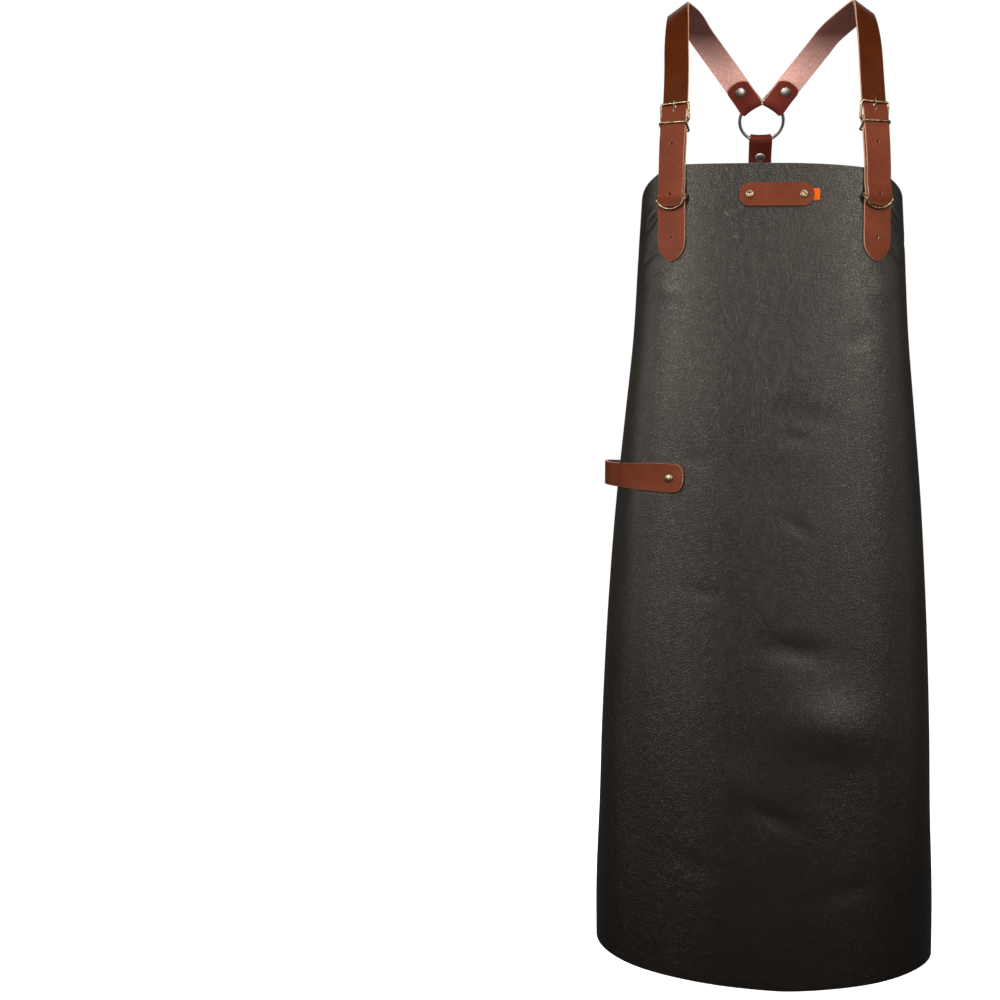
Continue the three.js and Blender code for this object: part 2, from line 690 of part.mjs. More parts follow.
  // Buckle frame, a rounded rectangle of wire that leans from the bar behind to the bar in front
  const railSide = strapWidth / 2 + railClearance + buckleWire;
  const topBarHeight = tailHeight(topBar) + half + layerGap + buckleWire;
  const corner = 3;
  const framePoint = (side, length) => {
    const height = THREE.MathUtils.lerp(pivotHeight, topBarHeight, length / buckleLength);
    return route.place(pivot + length, side, height);
  };
  const framePoints = [];
  const frameCorners = [
    { side: 1, end: 0, from: -Math.PI / 2 },
    { side: 1, end: 1, from: 0 },
    { side: -1, end: 1, from: Math.PI / 2 },
    { side: -1, end: 0, from: Math.PI },
  ];
  for (const { side, end, from } of frameCorners) {
    for (let k = 0; k <= 3; k++) {
      const angle = from + (Math.PI / 2) * (k / 3);
      const centreLength = end ? buckleLength - corner : corner;
      framePoints.push(framePoint(side * (railSide - corner) + corner * Math.cos(angle),
        centreLength + corner * Math.sin(angle)));
    }
  }
  addMesh(`buckle_frame_${name}`, wire(framePoints, buckleWire, 6, true), brass);

  // Prong, curled round the bar and laid over the front bar
  const curl = buckleWire + layerGap + prongWire;
  const prongPoints = [];
  for (let k = 0; k <= 8; k++) {
    const angle = -Math.PI * 1.15 + (Math.PI * 1.15 * k) / 8;
    prongPoints.push(route.place(pivot + curl * Math.sin(angle), 0, pivotHeight + curl * Math.cos(angle)));
  }
  const overBar = topBarHeight + buckleWire + layerGap + prongWire;
  const prongRise = [
    { part: 0.3, height: pivotHeight + curl },
    { part: 0.5, height: THREE.MathUtils.lerp(pivotHeight + curl, overBar, 0.1) },
    { part: 0.7, height: THREE.MathUtils.lerp(pivotHeight + curl, overBar, 0.5) },
    { part: 0.87, height: THREE.MathUtils.lerp(pivotHeight + curl, overBar, 0.9) },
    { part: 1.0, height: overBar },
    { part: 1.13, height: overBar - 0.1 },
  ];
  for (const { part, height } of prongRise) {
    prongPoints.push(route.place(pivot + buckleLength * part, 0, height));
  }
  addMesh(`buckle_prong_${name}`, wire(prongPoints, prongWire, 6, false), brass);

  // Keeper, a loop of wire round the layers that leans down behind them
  const keeperHigh = tailHeight(pivot) + half + layerGap + keeperWire;
  const keeperLow = pivotHeight - wrap - half - layerGap - keeperWire;
  const keeperSide = strapWidth / 2 + railClearance + keeperWire;
  const keeperLean = 0.4;
  const keeperCorner = 2.5;
  const keeperPoints = [];
  const keeperCorners = [
    { side: 1, high: 1, from: 0 },
    { side: -1, high: 1, from: Math.PI / 2 },
    { side: -1, high: 0, from: Math.PI },
    { side: 1, high: 0, from: 1.5 * Math.PI },
  ];
  for (const { side, high, from } of keeperCorners) {
    for (let k = 0; k <= 3; k++) {
      const angle = from + (Math.PI / 2) * (k / 3);
      const height = (high ? keeperHigh - keeperCorner : keeperLow + keeperCorner) + keeperCorner * Math.sin(angle);
      const over = side * (keeperSide - keeperCorner) + keeperCorner * Math.cos(angle);
      keeperPoints.push(route.place(pivot - keeperDrop - keeperLean * (keeperHigh - height), over, height));
    }
  }
  addMesh(`keeper_${name}`, wire(keeperPoints, keeperWire, 6, true), brass);

  // D-ring: straight bar behind the anchor strap, round part in front of it
  const dSide = anchorWidth / 2 + railClearance + dRingWire;
  const dPoints = [];
  const overAnchor = (s) => strapThickness + bump(s) + layerGap + dRingWire + 0.3;
  const barHeight = dRingWire + layerGap / 4;
  const dSteps = 16;
  for (let k = 0; k <= dSteps; k++) {
    const angle = (Math.PI * k) / dSteps;
    const s = dRing - dRingLength * Math.sin(angle);
    const rise = smooth(Math.min(angle, Math.PI - angle), 0, 0.42);
    dPoints.push(route.place(s, dSide * Math.cos(angle), THREE.MathUtils.lerp(barHeight, overAnchor(s), rise)));
  }
  for (const share of [-0.6, 0, 0.6]) {
    dPoints.push(route.place(dRing, dSide * share, barHeight));
  }
  addMesh(`d_ring_${name}`, wire(dPoints, dRingWire, 6, true), brass);
}

// Back ring and the strap below it
const ringGeometry = new THREE.TorusGeometry(ringRadius, ringWire, 8, 30);
ringGeometry.applyMatrix4(new THREE.Matrix4().makeBasis(new THREE.Vector3(1, 0, 0), ringUp, ringNormal.clone().negate()));
ringGeometry.translate(ringCentre.x, ringCentre.y, ringCentre.z);
addMesh('back_ring', ringGeometry, nickel);

const waistZ = bibTop - waistDrop;
const spineLength = shoulderDrop + waistDrop;
const spineBack = waistRoute.find((row) => row.x === 0).y * ringBack;
const backStrapOffset = strapThickness + layerGap;
const lowerStart = ringRadius * 1.9;
const lowerFold = ringFold(Math.PI, backStrapWidth, lowerStart, ringTabLength + 6).reverse();
const spinePoints = [ringCentre.clone().addScaledVector(ringDirection(Math.PI), lowerStart)
  .addScaledVector(ringNormal, legOffset)];
const spineEndZ = waistZ + waistRise;
for (const row of spineRoute) {
  const drift = 1 - row.down;
  const y = row.down === 1 ? spineBack + backStrapOffset : row.back * ringBack;
  spinePoints.push(new THREE.Vector3(ringShift * drift, y, row.down === 1 ? spineEndZ : -row.down * spineLength));
}
spinePoints.push(new THREE.Vector3(0, spineBack + backStrapOffset, spineEndZ - waistWidth * 0.5));
const spine = new THREE.CatmullRomCurve3(spinePoints, false, 'centripetal');
const lateral = (curve, u) => {
  const tangent = curve.getTangentAt(u);
  return new THREE.Vector3(1, 0, 0).addScaledVector(tangent, -tangent.x).normalize();
};
const foldSense = Math.sign(lowerFold[0][2].x - lowerFold[0][0].x);
const spineRows = [];
const spineSteps = 18;
for (let i = 1; i <= spineSteps; i++) {
  const u = i / spineSteps;
  const over = lateral(spine, u).multiplyScalar(foldSense * backStrapWidth / 2);
  spineRows.push([-1, 0, 1].map((c) => spine.getPointAt(u).addScaledVector(over, c)));
}
const backRivetAt = new THREE.Vector3(0, spineBack + backStrapOffset / 2, spineEndZ);
const backAxis = new THREE.Vector3(0, 1, 0);
const shankBore = shankRadius + shankClearance;
const stitchGrip = 2 * strapThickness + layerGap;
addMesh('back_strap', cut(slab([...lowerFold, ...spineRows], strapThickness / 2, -strapThickness / 2), [
  ringRivet('ring_rivet_lower', Math.PI),
  bore(backRivetAt, backAxis, shankBore, stitchGrip * 3),
]), strapLeather);
addMesh('back_rivet', rivet(backRivetAt, backAxis, stitchGrip, 4.5, 1.4), brass);

// Waist strap: riveted on the panel at the left, round the back, into the panel's right edge
const half = strapThickness / 2;
const waistStart = -hemHalfWidth * 0.505;
const waistLeave = -hemHalfWidth * 0.845;
const waistPath = [];
const waistUps = [];
const slopeAt = (across) => {
  const reach = waistWidth / 2;
  return bareFace(across, waistZ + reach).sub(bareFace(across, waistZ - reach)).normalize();
};
for (const x of [waistStart, (2 * waistStart + waistLeave) / 3, (waistStart + 2 * waistLeave) / 3, waistLeave]) {
  const across = acrossAt(x, waistZ);
  const point = bareFace(across, waistZ).addScaledVector(bareNormal(across, waistZ), layerGap * 3 + half);
  waistPath.push(point.setZ(waistZ + waistRise * 0.4 * ((waistStart - x) / (waistStart - waistLeave))));
  waistUps.push(slopeAt(across));
}
for (const row of waistRoute) {
  waistPath.push(new THREE.Vector3(row.x * hemHalfWidth, row.y * ringBack, waistZ + waistRise * row.rise));
  waistUps.push(new THREE.Vector3(0, 0, 1));
}
const insideRight = [1.0, 0.95, 0.9, 0.86];
for (const across of insideRight) {
  const point = bareFace(across, waistZ);
  const normal = bareNormal(Math.min(across, 0.99), waistZ);
  point.addScaledVector(normal, -(panelThickness + bendSlack + half));
  waistPath.push(point.setZ(waistZ + waistRise * 0.6));
  waistUps.push(slopeAt(across));
}
const waist = new THREE.CatmullRomCurve3(waistPath, false, 'centripetal');
waist.arcLengthDivisions = 600;
const waistUp = new THREE.CatmullRomCurve3(waistUps, false, 'centripetal');
const waistLength = waist.getLength();
const waistRows = [];
const waistFrame = (s) => {
  const tangent = waist.getTangentAt(s / waistLength);
  const up = waistUp.getPoint(waist.getUtoTmapping(s / waistLength));
  up.addScaledVector(tangent, -tangent.dot(up)).normalize();
  return { point: waist.getPointAt(s / waistLength), tangent, up, normal: new THREE.Vector3().crossVectors(tangent, up) };
};
const endRound = 12;
for (const part of [0.985, 0.9, 0.75, 0.55, 0.3, 0]) {
  const share = Math.sqrt(1 - part ** 2.6);
  waistRows.push({ s: endRound * (1 - part), halfWidth: (waistEndWidth / 2) * share });
}
for (const s of steps(endRound + 10, waistLength, 17)) {
  const taper = smooth(s, endRound + 10, endRound + 95);
  waistRows.push({ s, halfWidth: THREE.MathUtils.lerp(waistEndWidth, waistWidth, taper) / 2 });
}
const waistGrid = waistRows.map(({ s, halfWidth }) => {
  const frame = waistFrame(s);
  return [-1, 1].map((c) => frame.point.clone().addScaledVector(frame.up, c * halfWidth));
});
const leftRivet = waistFrame(17.5);
const rightRivet = waistFrame(waistLength - 22);
const outward = leftRivet.normal.y < 0 ? 1 : -1;
const waistGrip = strapThickness + panelThickness + bendSlack;
const leftAxis = leftRivet.normal.clone().multiplyScalar(outward);
const rightAxis = rightRivet.normal.clone().multiplyScalar(Math.sign(rightRivet.normal.x));
const leftRivetAt = leftRivet.point.clone().addScaledVector(leftAxis, half - waistGrip / 2);
const rightRivetAt = rightRivet.point.clone().addScaledVector(rightAxis, waistGrip / 2 - half);
addMesh('waist_strap', cut(slab(waistGrid, half, -half), [
  bore(leftRivetAt, leftAxis, shankBore, 20),
  bore(rightRivetAt, rightAxis, shankBore, 20),
  bore(backRivetAt, backAxis, shankBore, stitchGrip * 3),
]), strapLeather);
addMesh('waist_rivet_left', rivet(leftRivetAt, leftAxis, waistGrip, waistRivetRadius, 2.4), brass);
addMesh('waist_rivet_right', rivet(rightRivetAt, rightAxis, waistGrip, 4.5, 0.6), brass);
panelBores.push(bore(leftRivetAt, leftAxis, shankBore, 20));
panelBores.push(bore(rightRivetAt, rightAxis, shankBore, 20));

// Label with round ends, its rivets and the ribbon end tucked under it
const labelZ = bibTop - labelDrop;
const labelFace = (x, height, lift) => {
  const across = acrossAt(x || 0.001, labelZ);
  const point = bareFace(across, labelZ + height);
  return point.addScaledVector(bareNormal(across, labelZ), lift);
};
const labelLift = layerGap + labelThickness / 2;
const labelRows = [];
const labelSide = labelLength / 2 - labelHeight / 2;
const labelEndShares = [0.98, 0.85, 0.6, 0.3, 0];
const labelStops = [
  ...labelEndShares.map((share) => -labelSide - (labelHeight / 2) * share),
  ...steps(-labelSide + 8, labelSide - 8, 12),
  ...labelEndShares.toReversed().map((share) => labelSide + (labelHeight / 2) * share),
];
for (const x of labelStops) {
  const inset = Math.max(0, Math.abs(x) - (labelLength - labelHeight) / 2);
  const halfHeight = Math.sqrt(Math.max(3, (labelHeight / 2) ** 2 - inset ** 2));
  labelRows.push([-1, 0, 1].map((c) => labelFace(labelShift + x, c * halfHeight, labelLift)));
}
const labelEnd = labelShift + labelLength / 2;
const ribbonLift = layerGap + ribbonThickness / 2;
const ribbonRows = steps(labelEnd - ribbonTucked, labelEnd + ribbonShown, 4)
  .map((x) => [-1, 0, 1].map((c) => labelFace(x, (c * ribbonHeight) / 2, ribbonLift)));
const pocketRows = steps(labelEnd - ribbonTucked - 0.5, labelEnd + ribbonShown, 4)
  .map((x) => [-1, 0, 1].map((c) => labelFace(x, c * (ribbonHeight / 2 + 0.5), ribbonLift)));
const pocket = slab(pocketRows, ribbonThickness / 2 + layerGap, -ribbonThickness / 2 - layerGap);
const labelBores = [];
const labelGrip = labelThickness + panelThickness + layerGap;
for (const { name, sign } of sides) {
  const x = labelShift + (sign * labelRivetSpacing) / 2;
  const axis = bareNormal(acrossAt(x, labelZ), labelZ);
  const centre = labelFace(x, 0, labelLift + labelThickness / 2 - labelGrip / 2);
  addMesh(`label_rivet_${name}`, rivet(centre, axis, labelGrip, labelRivetRadius, 1.2), brass);
  labelBores.push(bore(centre, axis, shankBore, 20));
}
addMesh('label', cut(slab(labelRows, labelThickness / 2, -labelThickness / 2), [...labelBores, pocket]), strapLeather);
addMesh('ribbon_tab', slab(ribbonRows, ribbonThickness / 2, -ribbonThickness / 2), ribbonCloth);
panelBores.push(...labelBores);

addMesh('panel', cut(slab(panelGrid, 0, -panelThickness), panelBores), panelLeather);

export default group;
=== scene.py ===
import math

import bpy
import numpy as np
from mathutils import Matrix, Vector


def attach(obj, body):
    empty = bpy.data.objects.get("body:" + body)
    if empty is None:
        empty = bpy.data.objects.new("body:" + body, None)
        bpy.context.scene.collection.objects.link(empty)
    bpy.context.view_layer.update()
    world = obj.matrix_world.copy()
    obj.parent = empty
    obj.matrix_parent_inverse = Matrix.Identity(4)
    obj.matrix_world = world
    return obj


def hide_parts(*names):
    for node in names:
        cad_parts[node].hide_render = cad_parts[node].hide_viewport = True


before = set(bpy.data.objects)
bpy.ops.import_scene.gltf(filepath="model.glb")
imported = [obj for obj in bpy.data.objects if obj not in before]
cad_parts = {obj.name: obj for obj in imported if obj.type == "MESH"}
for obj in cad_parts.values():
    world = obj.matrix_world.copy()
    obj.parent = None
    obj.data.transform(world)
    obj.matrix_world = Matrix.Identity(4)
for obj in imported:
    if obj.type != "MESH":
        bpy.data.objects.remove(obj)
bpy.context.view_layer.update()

MM = 0.001

# Sizes in millimetres, as in the solids but for the crown, the holes and the rails' clearance
PANEL_HEIGHT = 993
PANEL_THICKNESS = 1.8
HEM_HALF_WIDTH = 209
HEM_DEPTH = 130
HEM_RISE = 38
HEM_LEAN = 0.05
BIB_CROWN = 6.5
BIB_CROWN_LEFT = -0.5
BIB_CORNER_DROP = 42
CORNER_START = 0.62
TURN_BACK = 38
TURN_BACK_RADIUS = 190
SHOULDER_DROP = 214
CHEST_REACH = 120
STRAP_WIDTH = 31
STRAP_THICKNESS = 3
ANCHOR_WIDTH = 34
ANCHOR_TIP_DROP = 117
STRAP_SPREAD = 122
SHOULDER_HALF_SPAN = 114
LAYER_GAP = 0.4
BUCKLE_RISE = 76
D_RING_DROP = 37
HOLE_RADIUS = 2.2
RETURN_LENGTH = 27
BUCKLE_LENGTH = 20
BUCKLE_WIRE = 1.45
RAIL_CLEARANCE = 0.4
PRONG_WIRE = 1.1
KEEPER_WIRE = 1
KEEPER_DROP = 5.5
D_RING_WIRE = 1.5
D_RING_LENGTH = 17
RING_RADIUS = 28.5
RING_WIRE = 2.5
RING_BACK = 100
RING_DROP = 120.4
RING_SHIFT = -4
RING_TILT = math.radians(35)
RING_STRAP_ANGLE = math.radians(35)
RING_TAB_LENGTH = 42
RING_RIVET_PLACE = 28
RING_RIVET_RADIUS = 6.7
SHANK_RADIUS = 1.8
SHANK_CLEARANCE = 0.3
BEND_SLACK = 1.6
WAIST_DROP = 380
WAIST_RISE = 10
WAIST_WIDTH = 29
WAIST_END_WIDTH = 34
WAIST_RIVET_RADIUS = 5.4
BACK_STRAP_WIDTH = 30
SMALL_CAP = 4.5
LABEL_LENGTH = 89.5
LABEL_HEIGHT = 28
LABEL_THICKNESS = 3
LABEL_DROP = 38
LABEL_SHIFT = 2.4
LABEL_RIVET_SPACING = 64.5
LABEL_RIVET_RADIUS = 4.9
RIBBON_HEIGHT = 14
RIBBON_THICKNESS = 1
RIBBON_SHOWN = 6.5
RIBBON_TUCKED = 8
BOLD = 1.15
KEEPER_BOLD = 1.25
RING_SLIM = 0.8
HALF = STRAP_THICKNESS / 2
BIB_TOP = -SHOULDER_DROP

# Cross sections from the bib's top edge to the hem:
# half width, depth, squareness, share turned back, share forward
SECTIONS = np.array([
    (0.756, 0.56, 3.1, 0.1, 0.0),
    (0.78, 0.6, 3.1, 0.15, 0.015),
    (0.806, 0.65, 3.0, 0.3, 0.03),
    (0.852, 0.72, 2.9, 0.6, 0.035),
    (0.896, 0.79, 2.8, 0.8, 0.03),
    (0.93, 0.85, 2.7, 0.9, 0.035),
    (0.959, 0.9, 2.6, 1.0, 0.05),
    (0.98, 0.94, 2.5, 1.0, 0.07),
    (0.988, 0.97, 2.45, 1.0, 0.085),
    (1.0, 0.99, 2.4, 1.0, 0.1),
    (1.0, 1.0, 2.35, 1.0, 0.115),
])
# Soft folds and dents: across, down, wide, tall, turn, lift
FOLDS = [
    (0.1, 0.59, 0.17, 0.075, 0.15, -0.024),
    (0.24, 0.681, 0.28, 0.17, 0.12, 0.046),
    (0.02, 0.792, 0.13, 0.055, 0.4, -0.013),
    (-0.12, 0.75, 0.12, 0.1, 0.8, 0.01),
    (0.0, 0.25, 0.07, 0.35, 0.25, -0.014),
    (0.18, 0.31, 0.14, 0.08, 0.1, -0.012),
    (-0.52, 0.62, 0.12, 0.8, -0.08, 0.018),
    (0.6, 0.72, 0.12, 0.7, 0.06, 0.016),
]
# Finer creases that only show close up, in the same columns
CORNER_CREASES = [
    (0.68, 0.050, 0.022, 0.12, 0.55, -0.024),
    (0.74, 0.062, 0.020, 0.13, 0.70, 0.026),
    (0.80, 0.078, 0.022, 0.12, 0.85, -0.026),
    (0.72, 0.110, 0.022, 0.10, 0.95, -0.016),
]
CREASES = [(sign * across, down, wide, tall, -sign * turn, lift) for sign in (-1, 1)
           for across, down, wide, tall, turn, lift in CORNER_CREASES] + [
    (-0.62, 0.150, 0.120, 0.05, 0.30, 0.012),
    (0.62, 0.150, 0.120, 0.05, -0.30, 0.010),
    (0.45, 0.212, 0.090, 0.05, -0.50, -0.009),
    (0.10, 0.439, 0.080, 0.040, 0.70, -0.008),
    (0.12, 0.334, 0.110, 0.045, 0.15, -0.010),
    (-0.05, 0.180, 0.050, 0.160, 0.15, -0.007),
    (0.05, 0.300, 0.050, 0.120, 0.65, -0.008),
    (-0.35, 0.360, 0.090, 0.050, 0.50, -0.006),
    (-0.28, 0.520, 0.120, 0.040, 0.30, -0.006),
    (-0.30, 0.850, 0.140, 0.060, 0.35, -0.008),
    (0.30, 0.880, 0.140, 0.060, -0.30, -0.008),
]
# The shoulder strap above the bib: up, out, forward, and the way its outer side looks
CHEST_ROUTE = [
    (0.18, 1.06, 0.85, 0.31, 0.95, 0.08),
    (0.35, 1.04, 0.785, 0.31, 0.93, 0.2),
    (0.55, 1.03, 0.66, 0.33, 0.87, 0.36),
    (0.73, 1.03, 0.475, 0.36, 0.74, 0.56),
    (0.88, 1.02, 0.27, 0.44, 0.5, 0.74),
    (0.97, 1.01, 0.11, 0.53, 0.22, 0.82),
    (1.0, 1.0, 0.0, 0.56, 0.0, 0.83),
    (0.96, 0.87, -0.125, 0.38, -0.45, 0.8),
]
RING_ROUTE = [5.0, 4.3, 3.6, 2.9, 2.3]
PRONG_RISE = [(0.3, 0), (0.5, 0.1), (0.6, 0.28), (0.7, 0.5), (0.8, 0.76), (0.87, 0.9), (0.94, 0.98),
              (1.0, 1.0), (1.13, 0.99)]
SPINE_ROUTE = [(0.31, 1.36), (0.4, 1.4), (0.56, 1.36), (0.72, 1.24), (0.87, 1.16), (1.0, 1.14)]
# The waist strap's free way: x, y, rise
WAIST_ROUTE = [
    (-0.93, -0.42, 0.6),
    (-0.965, -0.12, 0.8),
    (-0.95, 0.28, 1),
    (-0.82, 0.7, 1),
    (-0.52, 1.0, 1),
    (-0.2, 1.09, 1),
    (0.0, 1.1, 1),
    (0.2, 1.09, 1),
    (0.52, 0.98, 1),
    (0.76, 0.7, 0.9),
]
# How far along a round end its rows stand, from the tip
ROUND_END = (0.985, 0.94, 0.88, 0.8, 0.7, 0.58, 0.45, 0.3, 0.15, 0)


# Small vector helpers
def unit(v):
    v = np.asarray(v, float)
    return v / np.linalg.norm(v)


def lerp(a, b, t):
    return a + (b - a) * t


def smooth(x, low, high):
    t = min(max((x - low) / (high - low), 0), 1)
    return t * t * (3 - 2 * t)


def steps(low, high, spacing):
    return list(np.linspace(low, high, max(1, round(abs(high - low) / spacing)) + 1))


class Spline:
    """A centripetal Catmull-Rom curve with its arc lengths."""

    def __init__(self, points, samples=1600):
        self.points = np.array(points, float)
        self.t = np.linspace(0, 1, samples + 1)
        self.line = np.array([self.point(t) for t in self.t])
        steps_between = np.linalg.norm(np.diff(self.line, axis=0), axis=1)
        self.arc = np.concatenate([[0], np.cumsum(steps_between)])
        self.length = self.arc[-1]

    def point(self, t):
        p = self.points
        spans = len(p) - 1
        place = min(max(t, 0), 1) * spans
        i = min(int(place), spans - 1)
        w = place - i
        p1, p2 = p[i], p[i + 1]
        p0 = p[i - 1] if i > 0 else 2 * p[0] - p[1]
        p3 = p[i + 2] if i + 2 <= spans else 2 * p[-1] - p[-2]
        d0, d1, d2 = (math.sqrt(np.linalg.norm(b - a)) or 1 for a, b in ((p0, p1), (p1, p2), (p2, p3)))
        m1 = ((p1 - p0) / d0 - (p2 - p0) / (d0 + d1) + (p2 - p1) / d1) * d1
        m2 = ((p2 - p1) / d1 - (p3 - p1) / (d1 + d2) + (p3 - p2) / d2) * d1
        return p1 + w * (m1 + w * (-3 * p1 + 3 * p2 - 2 * m1 - m2 + w * (2 * p1 - 2 * p2 + m1 + m2)))

    def t_at(self, s):
        return float(np.interp(s, self.arc, self.t))

    def tangent(self, t):
        return unit(self.point(min(t + 1e-4, 1)) - self.point(max(t - 1e-4, 0)))


# Panel surface
def column(index, share):
    rows = SECTIONS[:, index]
    place = min(max(share, 0), 1) * (len(rows) - 1)
    i = min(int(place), len(rows) - 2)
    a, b, c, d = (rows[min(max(k, 0), len(rows) - 1)] for k in (i - 1, i, i + 1, i + 2))
    t = place - i
    return b + 0.5 * t * (c - a + t * (2 * a - 5 * b + 4 * c - d + t * (3 * (b - c) + d - a)))


SECTION_CACHE = {}


def section(share):
    key = round(share, 6)
    if key not in SECTION_CACHE:
        half_width = column(0, share) * HEM_HALF_WIDTH
        depth = column(1, share) * HEM_DEPTH
        power = 2 / column(2, share)
        back = column(3, share) * TURN_BACK
        front = -CHEST_REACH - column(4, share) * HEM_DEPTH
        angle = np.linspace(0, math.pi / 2, 181)
        x = half_width * np.sin(angle) ** power
        y = front + depth * (1 - np.clip(np.cos(angle), 0, 1) ** power)
        turn = np.linspace(0, back, 9)[1:] / TURN_BACK_RADIUS
        x = np.concatenate([x, half_width - TURN_BACK_RADIUS * (1 - np.cos(turn))])
        y = np.concatenate([y, front + depth + TURN_BACK_RADIUS * np.sin(turn)])
        arc = np.concatenate([[0], np.cumsum(np.hypot(np.diff(x), np.diff(y)))])
        SECTION_CACHE[key] = (x, y, arc)
    return SECTION_CACHE[key]


def bare_face(across, z):
    x, y, arc = section((BIB_TOP - z) / PANEL_HEIGHT)
    s = abs(across) * arc[-1]
    return np.array([math.copysign(np.interp(s, arc, x), across), np.interp(s, arc, y), z])


def bare_normal(across, z):
    step = 0.004
    over = bare_face(min(across + step, 1), z) - bare_face(max(across - step, -1), z)
    down = bare_face(across, z - 2) - bare_face(across, z + 2)
    return unit(np.cross(down, over))


def lifts(across, z, half, table):
    total = 0
    for fold_across, fold_down, wide, tall, turn, lift in table:
        dx = (across - fold_across) * half
        dz = BIB_TOP - fold_down * PANEL_HEIGHT - z
        u = (dx * math.cos(turn) + dz * math.sin(turn)) / (wide * HEM_HALF_WIDTH)
        v = (dz * math.cos(turn) - dx * math.sin(turn)) / (tall * HEM_HALF_WIDTH)
        total += lift * HEM_DEPTH * math.exp(-u * u - v * v)
    return total


def waves(across, z):
    """Slow unevenness of hanging leather, stronger toward the hem."""
    down = (BIB_TOP - z) / PANEL_HEIGHT
    long_wave = math.sin(9.0 * across + 5.0 * down) * 0.9
    short_wave = math.sin(17.0 * across - 7.0 * down + 1.3) * math.sin(6.5 * down + 2.0 * across) * 0.7
    edge = 2.2 * math.sin(15 * down + 1.0) * abs(across) ** 6
    return (long_wave + short_wave) * (0.25 + 0.75 * down) * (1 - abs(across) ** 4 * 0.5) + edge * down


def across_at(x, z):
    xs, _, arc = section((BIB_TOP - z) / PANEL_HEIGHT)
    flat = int(np.argmax(xs))
    return math.copysign(np.interp(abs(x), xs[:flat + 1], arc[:flat + 1]) / arc[-1], x)


def top_edge(across):
    corner = max(0, (abs(across) - CORNER_START) / (1 - CORNER_START))
    crown = BIB_CROWN if across > 0 else BIB_CROWN_LEFT
    return BIB_TOP - crown * min(1, (across / CORNER_START) ** 2) - BIB_CORNER_DROP * corner


def hem_edge(across):
    return BIB_TOP - PANEL_HEIGHT + HEM_RISE * abs(across - HEM_LEAN) ** 1.5


# Materials
def new_material(name):
    material = bpy.data.materials.new(name)
    material.use_nodes = True
    tree = material.node_tree
    tree.nodes.clear()
    shader = tree.nodes.new("ShaderNodeBsdfPrincipled")
    output = tree.nodes.new("ShaderNodeOutputMaterial")
    tree.links.new(shader.outputs["BSDF"], output.inputs["Surface"])
    return material, tree, shader


def add(tree, kind, settings=None, **inputs):
    """A node with its settings, and inputs that are numbers or other nodes' sockets."""
    made = tree.nodes.new(kind)
    for key, value in (settings or {}).items():
        setattr(made, key, value)
    for key, value in inputs.items():
        names = [i.name.lower().replace(" ", "_") for i in made.inputs]
        socket = made.inputs[names.index(key)] if key in names else made.inputs[int(key[1:])]
        if isinstance(value, bpy.types.NodeSocket):
            tree.links.new(value, socket)
        else:
            socket.default_value = value
    return made


def rgba(colour):
    return (*colour, 1)


def ramp(tree, fac, stops):
    made = add(tree, "ShaderNodeValToRGB", i0=fac)
    elements = made.color_ramp.elements
    while len(elements) < len(stops):
        elements.new(0.5)
    for element, (place, colour) in zip(elements, stops):
        element.position = place
        element.color = rgba(colour)
    return made.outputs["Color"]


def mix(tree, fac, a, b, mode="MIX"):
    made = tree.nodes.new("ShaderNodeMix")
    made.data_type = "RGBA"
    made.blend_type = mode
    for index, value in ((0, fac), (6, a), (7, b)):
        if isinstance(value, bpy.types.NodeSocket):
            tree.links.new(value, made.inputs[index])
        else:
            made.inputs[index].default_value = value
    return made.outputs[2]


def place_of(tree):
    return add(tree, "ShaderNodeTexCoord").outputs["Object"]


def noise(tree, scale, detail=4, roughness=0.55, vector=None):
    place = vector or place_of(tree)
    made = add(tree, "ShaderNodeTexNoise", vector=place, scale=scale, detail=detail, roughness=roughness)
    return made.outputs["Fac"]


def stretched(tree, x, y, z):
    return add(tree, "ShaderNodeMapping", vector=place_of(tree), scale=(x, y, z)).outputs["Vector"]


def share_of(tree, value, low, high):
    return add(tree, "ShaderNodeMapRange", value=value, from_min=low, from_max=high).outputs["Result"]


def height_share(tree, low, high):
    parts = add(tree, "ShaderNodeSeparateXYZ", vector=place_of(tree))
    return share_of(tree, parts.outputs["Z"], low, high)


def bump(tree, shader, layers):
    """Stacks bumps: each layer is a height socket, its strength and its distance in metres."""
    last = None
    for height, strength, distance in layers:
        made = add(tree, "ShaderNodeBump", height=height, strength=strength, distance=distance)
        if last is not None:
            tree.links.new(last, made.inputs["Normal"])
        last = made.outputs["Normal"]
    tree.links.new(last, shader.inputs["Normal"])


